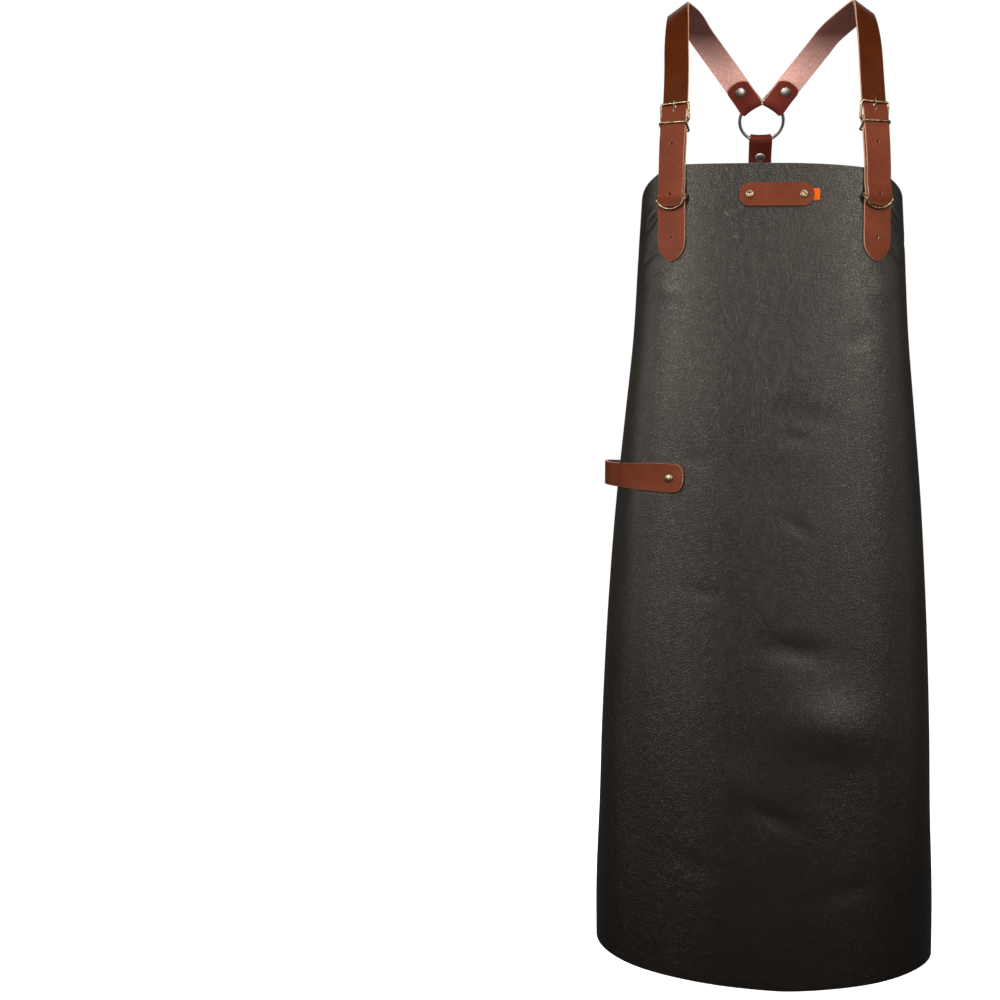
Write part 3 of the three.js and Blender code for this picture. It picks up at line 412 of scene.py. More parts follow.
def panel_leather():
    material, tree, shader = new_material("panel_leather")
    warp = noise(tree, 60, 3)
    place = place_of(tree)
    swirl = add(tree, "ShaderNodeTexNoise", vector=place, scale=90, detail=2)
    shifted = mix(tree, 0.012, place, swirl.outputs["Color"])
    cells = add(tree, "ShaderNodeTexVoronoi", {"feature": "DISTANCE_TO_EDGE"}, vector=shifted, scale=330)
    pebbles = add(tree, "ShaderNodeMapRange", value=cells.outputs["Distance"], from_min=0, from_max=0.22)
    fine = noise(tree, 1500, 3)
    wrinkle_place = stretched(tree, 0.6, 0.6, 1.0)
    wrinkles = noise(tree, 60, 6, 0.62, wrinkle_place)
    slow = noise(tree, 7, 3)
    tone = ramp(tree, slow, [(0.3, (0.0150, 0.0120, 0.0096)), (0.7, (0.0235, 0.0190, 0.0152))])
    # painted shade: the base colour darkens toward the bottom of the panel, in place of light falling off
    # low down
    down = height_share(tree, -1.25, -0.55)
    painted_low_shade = mix(tree, down, rgba((0.16, 0.10, 0.05)), rgba((1, 1, 1)))
    tone = mix(tree, 1.0, tone, painted_low_shade, "MULTIPLY")
    pores = ramp(tree, pebbles.outputs["Result"], [(0.0, (0.55, 0.53, 0.5)), (0.5, (1, 1, 1))])
    tree.links.new(mix(tree, 0.8, tone, pores, "MULTIPLY"), shader.inputs["Base Color"])
    gloss = add(tree, "ShaderNodeMapRange", value=warp, to_min=0.35, to_max=0.45)
    tree.links.new(gloss.outputs["Result"], shader.inputs["Roughness"])
    shader.inputs["Specular IOR Level"].default_value = 0.4
    shader.inputs["Specular Tint"].default_value = (1.0, 0.905, 0.80, 1)
    bump(tree, shader, [
        (wrinkles, 0.09, 0.0020),
        (pebbles.outputs["Result"], 0.46, 0.00030),
        (fine, 0.2, 0.0001),
    ])
    return material


def panel_back():
    material, tree, shader = new_material("panel_back")
    fibres = noise(tree, 900, 5, 0.7)
    tone = ramp(tree, fibres, [(0.3, (0.030, 0.024, 0.020)), (0.7, (0.062, 0.052, 0.045))])
    tree.links.new(tone, shader.inputs["Base Color"])
    shader.inputs["Roughness"].default_value = 0.85
    bump(tree, shader, [(fibres, 0.5, 0.0004)])
    return material


def panel_edge():
    material, tree, shader = new_material("panel_edge")
    tone = ramp(tree, noise(tree, 600, 3), [(0.3, (0.045, 0.038, 0.032)), (0.7, (0.10, 0.085, 0.07))])
    tree.links.new(tone, shader.inputs["Base Color"])
    shader.inputs["Roughness"].default_value = 0.7
    return material


def strap_leather(name, shoulder=False):
    """Satin cognac leather. The shoulder straps carry painted shade: a dark brown above their buckles."""
    material, tree, shader = new_material(name)
    slow = noise(tree, 26, 4)
    lower = ramp(tree, slow, [(0.3, (0.120, 0.0250, 0.0105)), (0.7, (0.175, 0.0400, 0.0180))])
    if shoulder:
        # painted shade: above the buckle's top bar the front of the strap turns dark brown
        place = add(tree, "ShaderNodeSeparateXYZ", vector=place_of(tree))
        up = share_of(tree, place.outputs["Z"], -0.1375, -0.1345)
        front = share_of(tree, place.outputs["Y"], 0.03, 0.0)
        painted_shade_brown = ramp(tree, slow, [(0.3, (0.052, 0.0090, 0.0008)), (0.7, (0.078, 0.0145, 0.0016))])
        tabs = ramp(tree, slow, [(0.3, (0.095, 0.014, 0.010)), (0.7, (0.145, 0.024, 0.017))])
        upper = mix(tree, front, tabs, painted_shade_brown)
        lower = mix(tree, up, lower, upper)
        back = share_of(tree, place.outputs["Y"], 0.02, 0.04)
        lower = mix(tree, back, lower, tabs)
    specks = ramp(tree, noise(tree, 700, 4, 0.7), [(0.35, (0.72, 0.69, 0.66)), (0.6, (1.04, 1.03, 1.02))])
    tree.links.new(mix(tree, 1.0, lower, specks, "MULTIPLY"), shader.inputs["Base Color"])
    gloss = add(tree, "ShaderNodeMapRange", value=noise(tree, 120, 3), to_min=0.42, to_max=0.58)
    tree.links.new(gloss.outputs["Result"], shader.inputs["Roughness"])
    shader.inputs["Specular IOR Level"].default_value = 0.12
    shader.inputs["Specular Tint"].default_value = (1.0, 0.72, 0.55, 1)
    bump(tree, shader, [(noise(tree, 60, 4), 0.25, 0.0006), (noise(tree, 900, 4, 0.7), 0.25, 0.00018)])
    return material


def cut_edge():
    material, tree, shader = new_material("cut_edge")
    tone = ramp(tree, noise(tree, 500, 4), [(0.3, (0.38, 0.17, 0.09)), (0.7, (0.60, 0.33, 0.20))])
    tree.links.new(tone, shader.inputs["Base Color"])
    shader.inputs["Roughness"].default_value = 0.75
    bump(tree, shader, [(noise(tree, 1200, 3), 0.4, 0.0002)])
    return material


def flesh_side():
    """The fibrous inner side of the straps, with painted shade where it goes over the shoulder."""
    material, tree, shader = new_material("flesh_side")
    fibres = noise(tree, 420, 8, 0.75)
    light = ramp(tree, fibres, [
        (0.3, (0.44, 0.20, 0.155)),
        (0.55, (0.66, 0.36, 0.30)),
        (0.75, (0.85, 0.58, 0.51)),
    ])
    # painted shade: the flesh side darkens toward its top, where it goes over the shoulder
    dark = ramp(tree, fibres, [(0.3, (0.050, 0.012, 0.006)), (0.7, (0.105, 0.030, 0.018))])
    up = height_share(tree, -0.066, -0.022)
    tone = mix(tree, up, light, dark)
    tree.links.new(tone, shader.inputs["Base Color"])
    shader.inputs["Roughness"].default_value = 0.88
    bump(tree, shader, [(fibres, 0.6, 0.0005)])
    return material


def metal(name, light, dark, roughness):
    """Worn metal: dark patina patches over a brighter base."""
    material, tree, shader = new_material(name)
    wear = noise(tree, 240, 5, 0.65)
    tree.links.new(ramp(tree, wear, [(0.38, dark), (0.62, light)]), shader.inputs["Base Color"])
    shader.inputs["Metallic"].default_value = 1
    gloss = add(tree, "ShaderNodeMapRange", value=wear, to_min=roughness + 0.14, to_max=roughness - 0.04)
    tree.links.new(gloss.outputs["Result"], shader.inputs["Roughness"])
    bump(tree, shader, [(noise(tree, 700, 3), 0.12, 0.0001)])
    return material


def ribbon_cloth():
    material, tree, shader = new_material("ribbon_cloth")
    weave = add(tree, "ShaderNodeTexWave", {"bands_direction": "Z"},
                vector=place_of(tree), scale=520, distortion=0.6)
    tone = ramp(tree, weave.outputs["Fac"], [(0.2, (0.72, 0.070, 0.0)), (0.8, (1.0, 0.13, 0.0))])
    tree.links.new(tone, shader.inputs["Base Color"])
    shader.inputs["Roughness"].default_value = 0.6
    shader.inputs["Specular IOR Level"].default_value = 0.1
    bump(tree, shader, [(weave.outputs["Fac"], 0.4, 0.0002)])
    return material


PANEL = [panel_leather(), panel_edge(), panel_back()]
EDGE = cut_edge()
FLESH = flesh_side()
COGNAC = strap_leather("cognac_leather")
SHOULDER = strap_leather("shoulder_leather", shoulder=True)
BRASS = (metal("antique_brass", (0.40, 0.30, 0.175), (0.12, 0.082, 0.045), 0.34), "antique_brass")
NICKEL = (metal("aged_nickel", (0.50, 0.475, 0.42), (0.31, 0.28, 0.23), 0.34), "nickel")
RIBBON = ribbon_cloth()


# Mesh helpers
def publish(name, points, faces, materials, replaced, indices=None):
    mesh = bpy.data.meshes.new(name)
    mesh.from_pydata([tuple(p) for p in np.asarray(points) * MM], [], [tuple(f) for f in faces])
    for material in materials:
        mesh.materials.append(material)
    if indices is not None:
        mesh.polygons.foreach_set("material_index", indices)
    mesh.polygons.foreach_set("use_smooth", [True] * len(mesh.polygons))
    mesh.update()
    piece = bpy.data.objects.new(name, mesh)
    bpy.context.collection.objects.link(piece)
    if replaced:
        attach(piece, "root")
        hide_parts(replaced)
    return piece


def slab_data(rows, outer, inner):
    """Points, quads and material indices of a sheet: 0 outer side, 1 cut edges, 2 inner side."""
    grid = np.array(rows)
    over = np.empty_like(grid)
    over[:, 1:-1] = grid[:, 2:] - grid[:, :-2]
    over[:, 0] = grid[:, 1] - grid[:, 0]
    over[:, -1] = grid[:, -1] - grid[:, -2]
    down = np.empty_like(grid)
    down[1:-1] = grid[2:] - grid[:-2]
    down[0] = grid[1] - grid[0]
    down[-1] = grid[-1] - grid[-2]
    normal = np.cross(down, over)
    normal /= np.linalg.norm(normal, axis=2, keepdims=True)
    n, m = grid.shape[:2]
    sides = [(grid + normal * outer).reshape(-1, 3), (grid + normal * inner).reshape(-1, 3)]
    points = np.concatenate(sides)
    faces, indices = [], []
    back = n * m
    for i in range(n - 1):
        for j in range(m - 1):
            a = i * m + j
            faces.append((a, a + m, a + m + 1, a + 1))
            indices.append(0)
            faces.append((back + a, back + a + 1, back + a + m + 1, back + a + m))
            indices.append(2)
        left, right = i * m, i * m + m - 1
        faces.append((left, back + left, back + left + m, left + m))
        faces.append((right, right + m, back + right + m, back + right))
        indices += [1, 1]
    for j in range(m - 1):
        low = (n - 1) * m + j
        faces.append((j, j + 1, back + j + 1, back + j))
        faces.append((low, back + low, back + low + 1, low + 1))
        indices += [1, 1]
    return points, faces, indices


def bore_tool(centre, axis, radius, length, materials):
    sides = 24
    axis = unit(axis)
    side = unit(np.cross(axis, (0.3, 0.2, 0.9)))
    other = np.cross(axis, side)
    points = []
    for end in (-length / 2, length / 2):
        for k in range(sides):
            angle = 2 * math.pi * k / sides
            out = side * radius * math.cos(angle)
            points.append(centre + axis * end + out + other * radius * math.sin(angle))
    faces = [tuple(reversed(range(sides))), tuple(range(sides, 2 * sides))]
    faces += [(k, (k + 1) % sides, sides + (k + 1) % sides, sides + k) for k in range(sides)]
    return publish("tool", points, faces, materials, None, [1] * len(faces))


def slot_tool(centre, over, along_it, normal, size, materials):
    """A box cutter whose sides follow the three directions given."""
    half = [np.asarray(d) * s / 2 for d, s in zip((over, along_it, normal), size)]
    points = [centre + half[0] * a + half[1] * b + half[2] * c
              for c in (-1, 1) for b in (-1, 1) for a in (-1, 1)]
    faces = [(0, 2, 3, 1), (4, 5, 7, 6), (0, 1, 5, 4), (2, 6, 7, 3), (0, 4, 6, 2), (1, 3, 7, 5)]
    if np.dot(np.cross(half[0], half[1]), half[2]) < 0:
        faces = [face[::-1] for face in faces]
    return publish("tool", points, faces, materials, None, [1] * len(faces))


def punch(piece, tools):
    """Cuts the tools out of the piece and keeps the result as its mesh."""
    for tool in tools:
        cutter = piece.modifiers.new("punch", "BOOLEAN")
        cutter.object = tool
        cutter.operation = "DIFFERENCE"
        cutter.solver = "EXACT"
    bpy.context.view_layer.update()
    evaluated = piece.evaluated_get(bpy.context.evaluated_depsgraph_get())
    made = bpy.data.meshes.new_from_object(evaluated)
    piece.modifiers.clear()
    old = piece.data
    piece.data = made
    made.name = old.name
    bpy.data.meshes.remove(old)
    for tool in tools:
        mesh = tool.data
        bpy.data.objects.remove(tool)
        bpy.data.meshes.remove(mesh)
    made.polygons.foreach_set("use_smooth", [True] * len(made.polygons))


def soften(piece, width=0.45):
    bevel = piece.modifiers.new("soft_edges", "BEVEL")
    bevel.width = width * MM
    bevel.segments = 2
    bevel.limit_method = "ANGLE"
    bevel.angle_limit = math.radians(50)
    bevel.use_clamp_overlap = True
    bevel.material = 1
    even = piece.modifiers.new("even_normals", "WEIGHTED_NORMAL")
    even.keep_sharp = True


def leather_piece(node, rows, outer, inner, materials, tools=(), width=0.7):
    points, faces, indices = slab_data(rows, outer, inner)
    piece = publish(f"{node}_look", points, faces, materials, node, indices)
    if tools:
        punch(piece, tools)
    soften(piece, width)
    return piece


def wire_piece(node, points, radius, closed, material, slot_name):
    """A round wire through the points, as a mesh of even sides."""
    points = np.array(points, float)
    count, sides = len(points), 16
    side = None
    verts = []
    frames = []
    for i, point in enumerate(points):
        before = points[i - 1] if closed or i else points[i]
        after = points[(i + 1) % count] if closed or i < count - 1 else points[i]
        along_it = unit(after - before)
        if side is None:
            side = unit(np.cross((0.31, 0.23, 0.92), along_it))
        side = unit(side - along_it * side.dot(along_it))
        frames.append((point, along_it, side))
    turn = 0
    if closed:
        _, t0, s0 = frames[0]
        s1 = unit(frames[-1][2] - t0 * frames[-1][2].dot(t0))
        turn = math.atan2(np.cross(s1, s0).dot(t0), s1.dot(s0))
    for i, (point, along_it, side) in enumerate(frames):
        other = np.cross(along_it, side)
        for k in range(sides):
            angle = 2 * math.pi * k / sides + turn * i / count
            verts.append(point + radius * (side * math.cos(angle) + other * math.sin(angle)))
    faces = []
    for i in range(count if closed else count - 1):
        nxt = ((i + 1) % count) * sides
        for k in range(sides):
            a, b = i * sides + k, i * sides + (k + 1) % sides
            faces.append((a, b, nxt + (k + 1) % sides, nxt + k))
    if not closed:
        for end, inward in ((0, -1), (count - 1, 1)):
            point, along_it, _ = frames[end]
            verts.append(point + along_it * inward * radius * 0.8)
            for k in range(sides):
                a, b = end * sides + k, end * sides + (k + 1) % sides
                faces.append((b, a, len(verts) - 1) if inward < 0 else (a, b, len(verts) - 1))
    return publish(f"{node}_look", verts, faces, [material], node)


def turned_piece(node, centre, axis, profile, material, slot_name, sides=40):
    """A profile of (radius, height) turned about an axis, from axis to axis."""
    axis = unit(axis)
    side = unit(np.cross(axis, (0.3, 0.2, 0.9)))
    other = np.cross(axis, side)
    verts = [centre + axis * profile[0][1]]
    for radius, height in profile[1:-1]:
        for k in range(sides):
            angle = 2 * math.pi * k / sides
            rim = side * math.cos(angle) + other * math.sin(angle)
            verts.append(centre + axis * height + radius * rim)
    verts.append(centre + axis * profile[-1][1])
    faces = [(0, 1 + (k + 1) % sides, 1 + k) for k in range(sides)]
    for row in range(len(profile) - 3):
        a, b = 1 + row * sides, 1 + (row + 1) * sides
        faces += [(a + k, a + (k + 1) % sides, b + (k + 1) % sides, b + k) for k in range(sides)]
    top = 1 + (len(profile) - 3) * sides
    faces += [(top + k, top + (k + 1) % sides, len(verts) - 1) for k in range(sides)]
    piece = publish(f"{node}_look", verts, faces, [material], node)
    even = piece.modifiers.new("even_normals", "WEIGHTED_NORMAL")
    even.keep_sharp = True
    return piece


def rivet_piece(node, centre, axis, grip, cap, dome, material, slot_name, dimple=0.0):
    half = grip / 2 + LAYER_GAP / 2
    back, rim = 0.9, 0.6
    profile = [
        (0, -half - back),
        (cap * 0.7, -half - back),
        (cap * 0.75, -half - back * 0.6),
        (cap * 0.75, -half),
        (SHANK_RADIUS, -half),
        (SHANK_RADIUS, half),
        (cap * 0.97, half),
        (cap, half + 0.15),
        (cap, half + rim * 0.8),
    ]
    for k in range(1, 9):
        angle = (math.pi / 2) * k / 9
        radius = cap * math.cos(angle) ** 0.9
        height = half + rim * 0.8 + (dome + rim * 0.2) * math.sin(angle)
        if dimple:
            height -= dimple * math.exp(-((radius / (cap * 0.38)) ** 2))
        profile.append((radius, height))
    profile.append((0, half + rim + dome - dimple))
    return turned_piece(node, np.array(centre, float), axis, profile, material, slot_name)


# Camera: level with the middle of the apron, a little to its left, and turned to the left
camera_data = bpy.data.cameras.new("camera")
camera_data.sensor_width = 36
camera_data.lens = 65.3
camera_data.clip_end = 100
camera = bpy.data.objects.new("camera", camera_data)
bpy.context.collection.objects.link(camera)
camera.location = (-0.1412, -2.32, -0.5994)
CAMERA_YAW, CAMERA_PITCH, CAMERA_ROLL = (math.radians(angle) for angle in (4.85, -0.574, 0.441))
aim = Matrix.Rotation(CAMERA_YAW, 4, "Z") @ Matrix.Rotation(math.pi / 2 + CAMERA_PITCH, 4, "X")
camera.rotation_euler = (aim @ Matrix.Rotation(CAMERA_ROLL, 4, "Z")).to_euler()
bpy.context.scene.camera = camera

# Panel
PANEL_ROWS, PANEL_COLUMNS = ((230, 150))


def panel_piece():
    rows = []
    for i in range(PANEL_ROWS + 1):
        row = []
        for j in range(PANEL_COLUMNS + 1):
            across = -1 + 2 * j / PANEL_COLUMNS
            z = lerp(top_edge(across), hem_edge(across), i / PANEL_ROWS)
            half = section((BIB_TOP - z) / PANEL_HEIGHT)[2][-1]
            lift = lifts(across, z, half, FOLDS) + lifts(across, z, half, CREASES)
            free = smooth(BIB_TOP - z, ANCHOR_TIP_DROP, ANCHOR_TIP_DROP * 2)
            lift += waves(across, z) * free
            row.append(bare_face(across, z) + bare_normal(across, z) * lift)
        rows.append(row)
    piece = leather_piece("panel", rows, 0, -PANEL_THICKNESS, PANEL, (), 0.5)
    flat_width = 2 * section(1)[2][-1] * MM
    area = sum(2 * section(k / 20)[2][-1] for k in range(21)) / 21 * PANEL_HEIGHT * MM * MM
    return piece


# The ring's plane
RING_NORMAL = np.array([0, math.cos(RING_TILT), math.sin(RING_TILT)])
RING_UP = np.array([0, -math.sin(RING_TILT), math.cos(RING_TILT)])
RING_CENTRE = np.array([RING_SHIFT, RING_BACK, -RING_DROP])
WRAP_RADIUS = RING_WIRE + LAYER_GAP + HALF
LEG_OFFSET = (STRAP_THICKNESS + LAYER_GAP) / 2
FOLD_INNER = RING_RADIUS - WRAP_RADIUS - HALF
RING_GRIP = 2 * STRAP_THICKNESS + LAYER_GAP
SHANK_BORE = SHANK_RADIUS + SHANK_CLEARANCE
FOLD_SLACK = 2.8
ACROSS = np.linspace(-1, 1, 9)


def ring_direction(angle):
    return np.array([math.sin(angle), 0, 0]) + RING_UP * math.cos(angle)


def ring_fold(angle, width, start, tab_length):
    spread = math.asin(width / 2 / RING_RADIUS)
    axis = ring_direction(angle)
    over = np.cross(RING_NORMAL, -axis)
    reach = RING_RADIUS + 16

    def place(share, radius, height, width_share):
        blend = min(max((radius - RING_RADIUS) / (reach - RING_RADIUS), 0), 1)
        axial = lerp(RING_RADIUS * math.cos(spread * share), reach, blend) + max(0, radius - reach)
        lateral = lerp(RING_RADIUS * math.sin(spread * share), width / 2 * share, blend)
        return RING_CENTRE + axis * axial + over * lateral * width_share + RING_NORMAL * height

    rows = []
    for radius in (start, *steps(reach + 6, RING_RADIUS + 1, 2.5)):
        ease = smooth(radius, RING_RADIUS, reach)
        rows.append([place(c, radius, lerp(WRAP_RADIUS, LEG_OFFSET, ease), 1) for c in ACROSS])
    for turn in range(17):
        beta = math.pi * turn / 16
        row = []
        for c in ACROSS:
            out = axis * math.cos(spread * c) + over * math.sin(spread * c)
            slack = axis * FOLD_SLACK * (1 - c * c) * math.sin(beta)
            row.append(RING_CENTRE + out * (RING_RADIUS - WRAP_RADIUS * math.sin(beta)) - slack
                       + RING_NORMAL * WRAP_RADIUS * math.cos(beta))
        rows.append(row)
    tab_end = FOLD_INNER + tab_length
    tab_round = 9
    for radius in (*steps(RING_RADIUS + 1, reach, 2.5), *steps(reach + 4, tab_end - tab_round, 4)):
        ease = smooth(radius, RING_RADIUS, reach)
        rows.append([place(c, radius, -lerp(WRAP_RADIUS, LEG_OFFSET, ease), 1) for c in ACROSS])
    for part in ROUND_END[-2::-1]:
        share = math.sqrt(1 - part * part)
        radius = tab_end - tab_round + tab_round * part
        rows.append([place(c, radius, -LEG_OFFSET, share) for c in ACROSS])
    return rows


def ring_rivet(name, angle, materials):
    centre = RING_CENTRE + ring_direction(angle) * (FOLD_INNER + RING_RIVET_PLACE)
    rivet_piece(name, centre, -RING_NORMAL, RING_GRIP, RING_RIVET_RADIUS, 2.2, *NICKEL)
    return bore_tool(centre, RING_NORMAL, SHANK_BORE, RING_GRIP * 3, materials)


class Route:
    """A shoulder strap's way, with places given by length, side and height over its underside."""

    def __init__(self, sign):
        points, facings = [], []
        for stop in (1.06, 0.8, 0.6, 0.4, 0.2, 0.04):
            z = BIB_TOP - ANCHOR_TIP_DROP * stop
            across = across_at(sign * STRAP_SPREAD, z)
            normal = bare_normal(across, z)
            points.append(bare_face(across, z) + normal * LAYER_GAP)
            facings.append(normal)
        for up, out, forward, face_out, face_front, face_up in CHEST_ROUTE:
            drop = SHOULDER_DROP * (1 - up)
            points.append((sign * out * SHOULDER_HALF_SPAN, -forward * CHEST_REACH, -drop))
            facings.append(unit((sign * face_out, -face_front, face_up)))
        for far in RING_ROUTE:
            points.append(RING_CENTRE + ring_direction(sign * RING_STRAP_ANGLE) * far * RING_RADIUS
                          + RING_NORMAL * LAYER_GAP / 2)
            facings.append(RING_NORMAL)
        self.curve = Spline(points)
        self.facing = Spline(facings, 10)
        self.length = self.curve.length

    def at(self, s):
        t = self.curve.t_at(s)
        tangent = self.curve.tangent(t)
        normal = self.facing.point(t)
        normal = unit(normal - tangent * normal.dot(tangent))
        return self.curve.point(t), tangent, normal, np.cross(normal, tangent)

    def place(self, s, side, height):
        point, _, normal, over = self.at(s)
        return point + over * side + normal * height

    def at_height(self, z):
        line = self.curve.line
        top = int(np.argmax(line[:, 2]))
        return float(np.interp(z, line[:top + 1, 2], self.curve.arc[:top + 1]))


def shoulder_side(name, sign):
    """One front strap with its anchor strap, buckle, keeper and D-ring."""
    route = Route(sign)
    tip = route.at_height(BIB_TOP - ANCHOR_TIP_DROP)
    d_ring = route.at_height(BIB_TOP - D_RING_DROP)
    pivot = route.at_height(BIB_TOP + BUCKLE_RISE - BUCKLE_LENGTH)
    top_bar = pivot + BUCKLE_LENGTH
    bump_height = 2 * D_RING_WIRE + LAYER_GAP

    def lump(s):
        return bump_height * math.exp(-(((s - d_ring) / (6 * D_RING_WIRE)) ** 2))

    def tail_height(s):
        over_fold = 1 - smooth(s, pivot + BUCKLE_LENGTH * 0.45, top_bar)
        return HALF + (STRAP_THICKNESS + LAYER_GAP) * over_fold + lump(s)

    def grid(stations):
        return [[route.place(s, c * width, height) for c in ACROSS] for s, width, height in stations]

    # Anchor strap
    wrap = BUCKLE_WIRE + LAYER_GAP + HALF
    pivot_height = HALF - wrap
    point_length = 25
    stations = []
    for part in (0.01, 0.03, 0.06, 0.1, 0.15, 0.22, 0.3, 0.4, 0.5, 0.6, 0.7, 0.85, 1):
        width = ANCHOR_WIDTH / 2 * math.sin(math.pi / 2 * part ** 0.8) ** 0.75
        stations.append((tip + point_length * part, max(width, 0.8), HALF + lump(tip)))
    narrow_end = pivot - KEEPER_DROP - 6
    for s in steps(tip + point_length + 4, narrow_end - 10, 3.5):
        stations.append((s, ANCHOR_WIDTH / 2, HALF + lump(s)))
    stations.append((narrow_end, STRAP_WIDTH / 2, HALF))
    for turn in range(17):
        beta = math.pi * turn / 16
        height = pivot_height + wrap * math.cos(beta)
        stations.append((pivot + wrap * math.sin(beta), STRAP_WIDTH / 2, height))
    return_height = HALF - STRAP_THICKNESS - LAYER_GAP
    stations.append((pivot - 8, STRAP_WIDTH / 2, (return_height + pivot_height - wrap) / 2))
    stations.append((pivot - 14, STRAP_WIDTH / 2, return_height))
    stations.append((pivot - RETURN_LENGTH, STRAP_WIDTH / 2, return_height))

    def bore_at(s, radius, length, materials):
        point, _, normal, _ = route.at(s)
        return bore_tool(point, normal, radius, length, materials)

    def slot_at(s, width, length, low, high, materials):
        point, tangent, normal, over = route.at(s)
        centre = point + normal * (low + high) / 2
        return slot_tool(centre, over, tangent, normal, (width, length, high - low), materials)

    anchor_materials = [COGNAC, EDGE, FLESH]
    fold_post = pivot - RETURN_LENGTH + 6
    anchor_post = (d_ring + route.at_height(BIB_TOP)) / 2 + 2
    leather_piece(f"anchor_strap_{name}", grid(stations), HALF, -HALF, anchor_materials, [
        bore_at(tip + point_length * 1.15, HOLE_RADIUS, 20, anchor_materials),
        slot_at(pivot + 1, 2 * PRONG_WIRE + 2.4, 15, pivot_height - wrap - HALF - 1,
                pivot_height + wrap + HALF + 1, anchor_materials),
    ])

    # Shoulder strap
    tail_end = d_ring - D_RING_LENGTH + D_RING_WIRE + 1.4
    tail_round = 8
    stations = []
    for part in ROUND_END:
        s = tail_end + tail_round * (1 - part)
        stations.append((s, STRAP_WIDTH / 2 * math.sqrt(1 - part * part), tail_height(s)))
    stops = [*steps(tail_end + tail_round + 3, top_bar + 4, 3), *steps(top_bar + 7, route.length - 8, 4)]
    stations += [(s, STRAP_WIDTH / 2, tail_height(s)) for s in stops]
    start = RING_ROUTE[-1] * RING_RADIUS
    rows = grid(stations) + ring_fold(sign * RING_STRAP_ANGLE, STRAP_WIDTH, start, RING_TAB_LENGTH)
    strap_materials = [SHOULDER, EDGE, FLESH]
    first_hole = lerp(d_ring, pivot, 0.67)
    leather_piece(f"shoulder_strap_{name}", rows, HALF, -HALF, strap_materials, [
        bore_at(first_hole, HOLE_RADIUS, 24, strap_materials),
        bore_at(d_ring, HOLE_RADIUS, 24, strap_materials),
        slot_at(pivot + BUCKLE_LENGTH * 0.7, 2 * PRONG_WIRE + 1, BUCKLE_LENGTH / 2, -1,
                tail_height(pivot) + STRAP_THICKNESS, strap_materials),
        ring_rivet(f"ring_rivet_{name}", sign * RING_STRAP_ANGLE, strap_materials),
    ])

    # Buckle frame
    rail_side = STRAP_WIDTH / 2 + RAIL_CLEARANCE + BUCKLE_WIRE
    top_bar_height = tail_height(top_bar) + HALF + LAYER_GAP + BUCKLE_WIRE
    corner = 3
    points = []
    for side, end, first in ((1, 0, -math.pi / 2), (1, 1, 0), (-1, 1, math.pi / 2), (-1, 0, math.pi)):
        for k in range(9):
            angle = first + math.pi / 2 * k / 8
            length = (BUCKLE_LENGTH - corner if end else corner) + corner * math.sin(angle)
            over = side * (rail_side - corner) + corner * math.cos(angle)
            height = lerp(pivot_height, top_bar_height, length / BUCKLE_LENGTH)
            points.append(route.place(pivot + length, over, height))
    wire_piece(f"buckle_frame_{name}", points, BUCKLE_WIRE * BOLD, True, *BRASS)

    # Prong
    curl = BUCKLE_WIRE + LAYER_GAP + PRONG_WIRE
    points = []
    for k in range(25):
        angle = -math.pi * 1.15 * (1 - k / 24)
        height = pivot_height + curl * math.cos(angle)
        points.append(route.place(pivot + curl * math.sin(angle), 0, height))
    over_bar = top_bar_height + BUCKLE_WIRE + LAYER_GAP + PRONG_WIRE
    low = pivot_height + curl
    for part, rise in PRONG_RISE:
        points.append(route.place(pivot + BUCKLE_LENGTH * part, 0, lerp(low, over_bar, rise)))
    wire_piece(f"buckle_prong_{name}", points, PRONG_WIRE, False, *BRASS)

    # Keeper
    high = tail_height(pivot) + HALF + LAYER_GAP + KEEPER_WIRE
    low = pivot_height - wrap - HALF - LAYER_GAP - KEEPER_WIRE
    keeper_side = STRAP_WIDTH / 2 + RAIL_CLEARANCE + KEEPER_WIRE
    corner = 2.5
    points = []
    quarter = math.pi / 2
    for side, is_high, first in ((1, 1, 0), (-1, 1, quarter), (-1, 0, 2 * quarter), (1, 0, 3 * quarter)):
        for k in range(9):
            angle = first + math.pi / 2 * k / 8
            height = (high - corner if is_high else low + corner) + corner * math.sin(angle)
            over = side * (keeper_side - corner) + corner * math.cos(angle)
            points.append(route.place(pivot - KEEPER_DROP - 0.4 * (high - height), over, height))
    wire_piece(f"keeper_{name}", points, KEEPER_WIRE * KEEPER_BOLD, True, *BRASS)

    # D-ring
    d_side = ANCHOR_WIDTH / 2 + RAIL_CLEARANCE + D_RING_WIRE
    bar_height = D_RING_WIRE + LAYER_GAP / 4
    points = []
    for k in range(49):
        angle = math.pi * k / 48
        s = d_ring - D_RING_LENGTH * math.sin(angle)
        over_anchor = STRAP_THICKNESS + lump(s) + LAYER_GAP + D_RING_WIRE + 0.3
        rise = smooth(min(angle, math.pi - angle), 0, 0.42)
        points.append(route.place(s, d_side * math.cos(angle), lerp(bar_height, over_anchor, rise)))
    points += [route.place(d_ring, d_side * share, bar_height) for share in np.linspace(-0.85, 0.85, 9)]
    wire_piece(f"d_ring_{name}", points, D_RING_WIRE * BOLD, True, *BRASS)

    # Hidden posts
    fold_low = return_height - HALF - LAYER_GAP
    anchor_low = -PANEL_THICKNESS - 3 * LAYER_GAP
    fold_high = STRAP_THICKNESS - LAYER_GAP / 2
    anchor_high = fold_high + lump(anchor_post)
    for node, s, post_low, post_high, cap in (
        (f"fold_post_{name}", fold_post, fold_low, fold_high, 4),
        (f"anchor_post_{name}", anchor_post, anchor_low, anchor_high, 4.5),
    ):
        point, _, normal, _ = route.at(s)
        profile = [(0, post_low - 1), (cap * 0.9, post_low - 1), (cap, post_low - 0.8), (cap, post_low),
                   (SHANK_RADIUS, post_low), (SHANK_RADIUS, post_high), (0, post_high)]
        turned_piece(node, point, normal, profile, *BRASS)


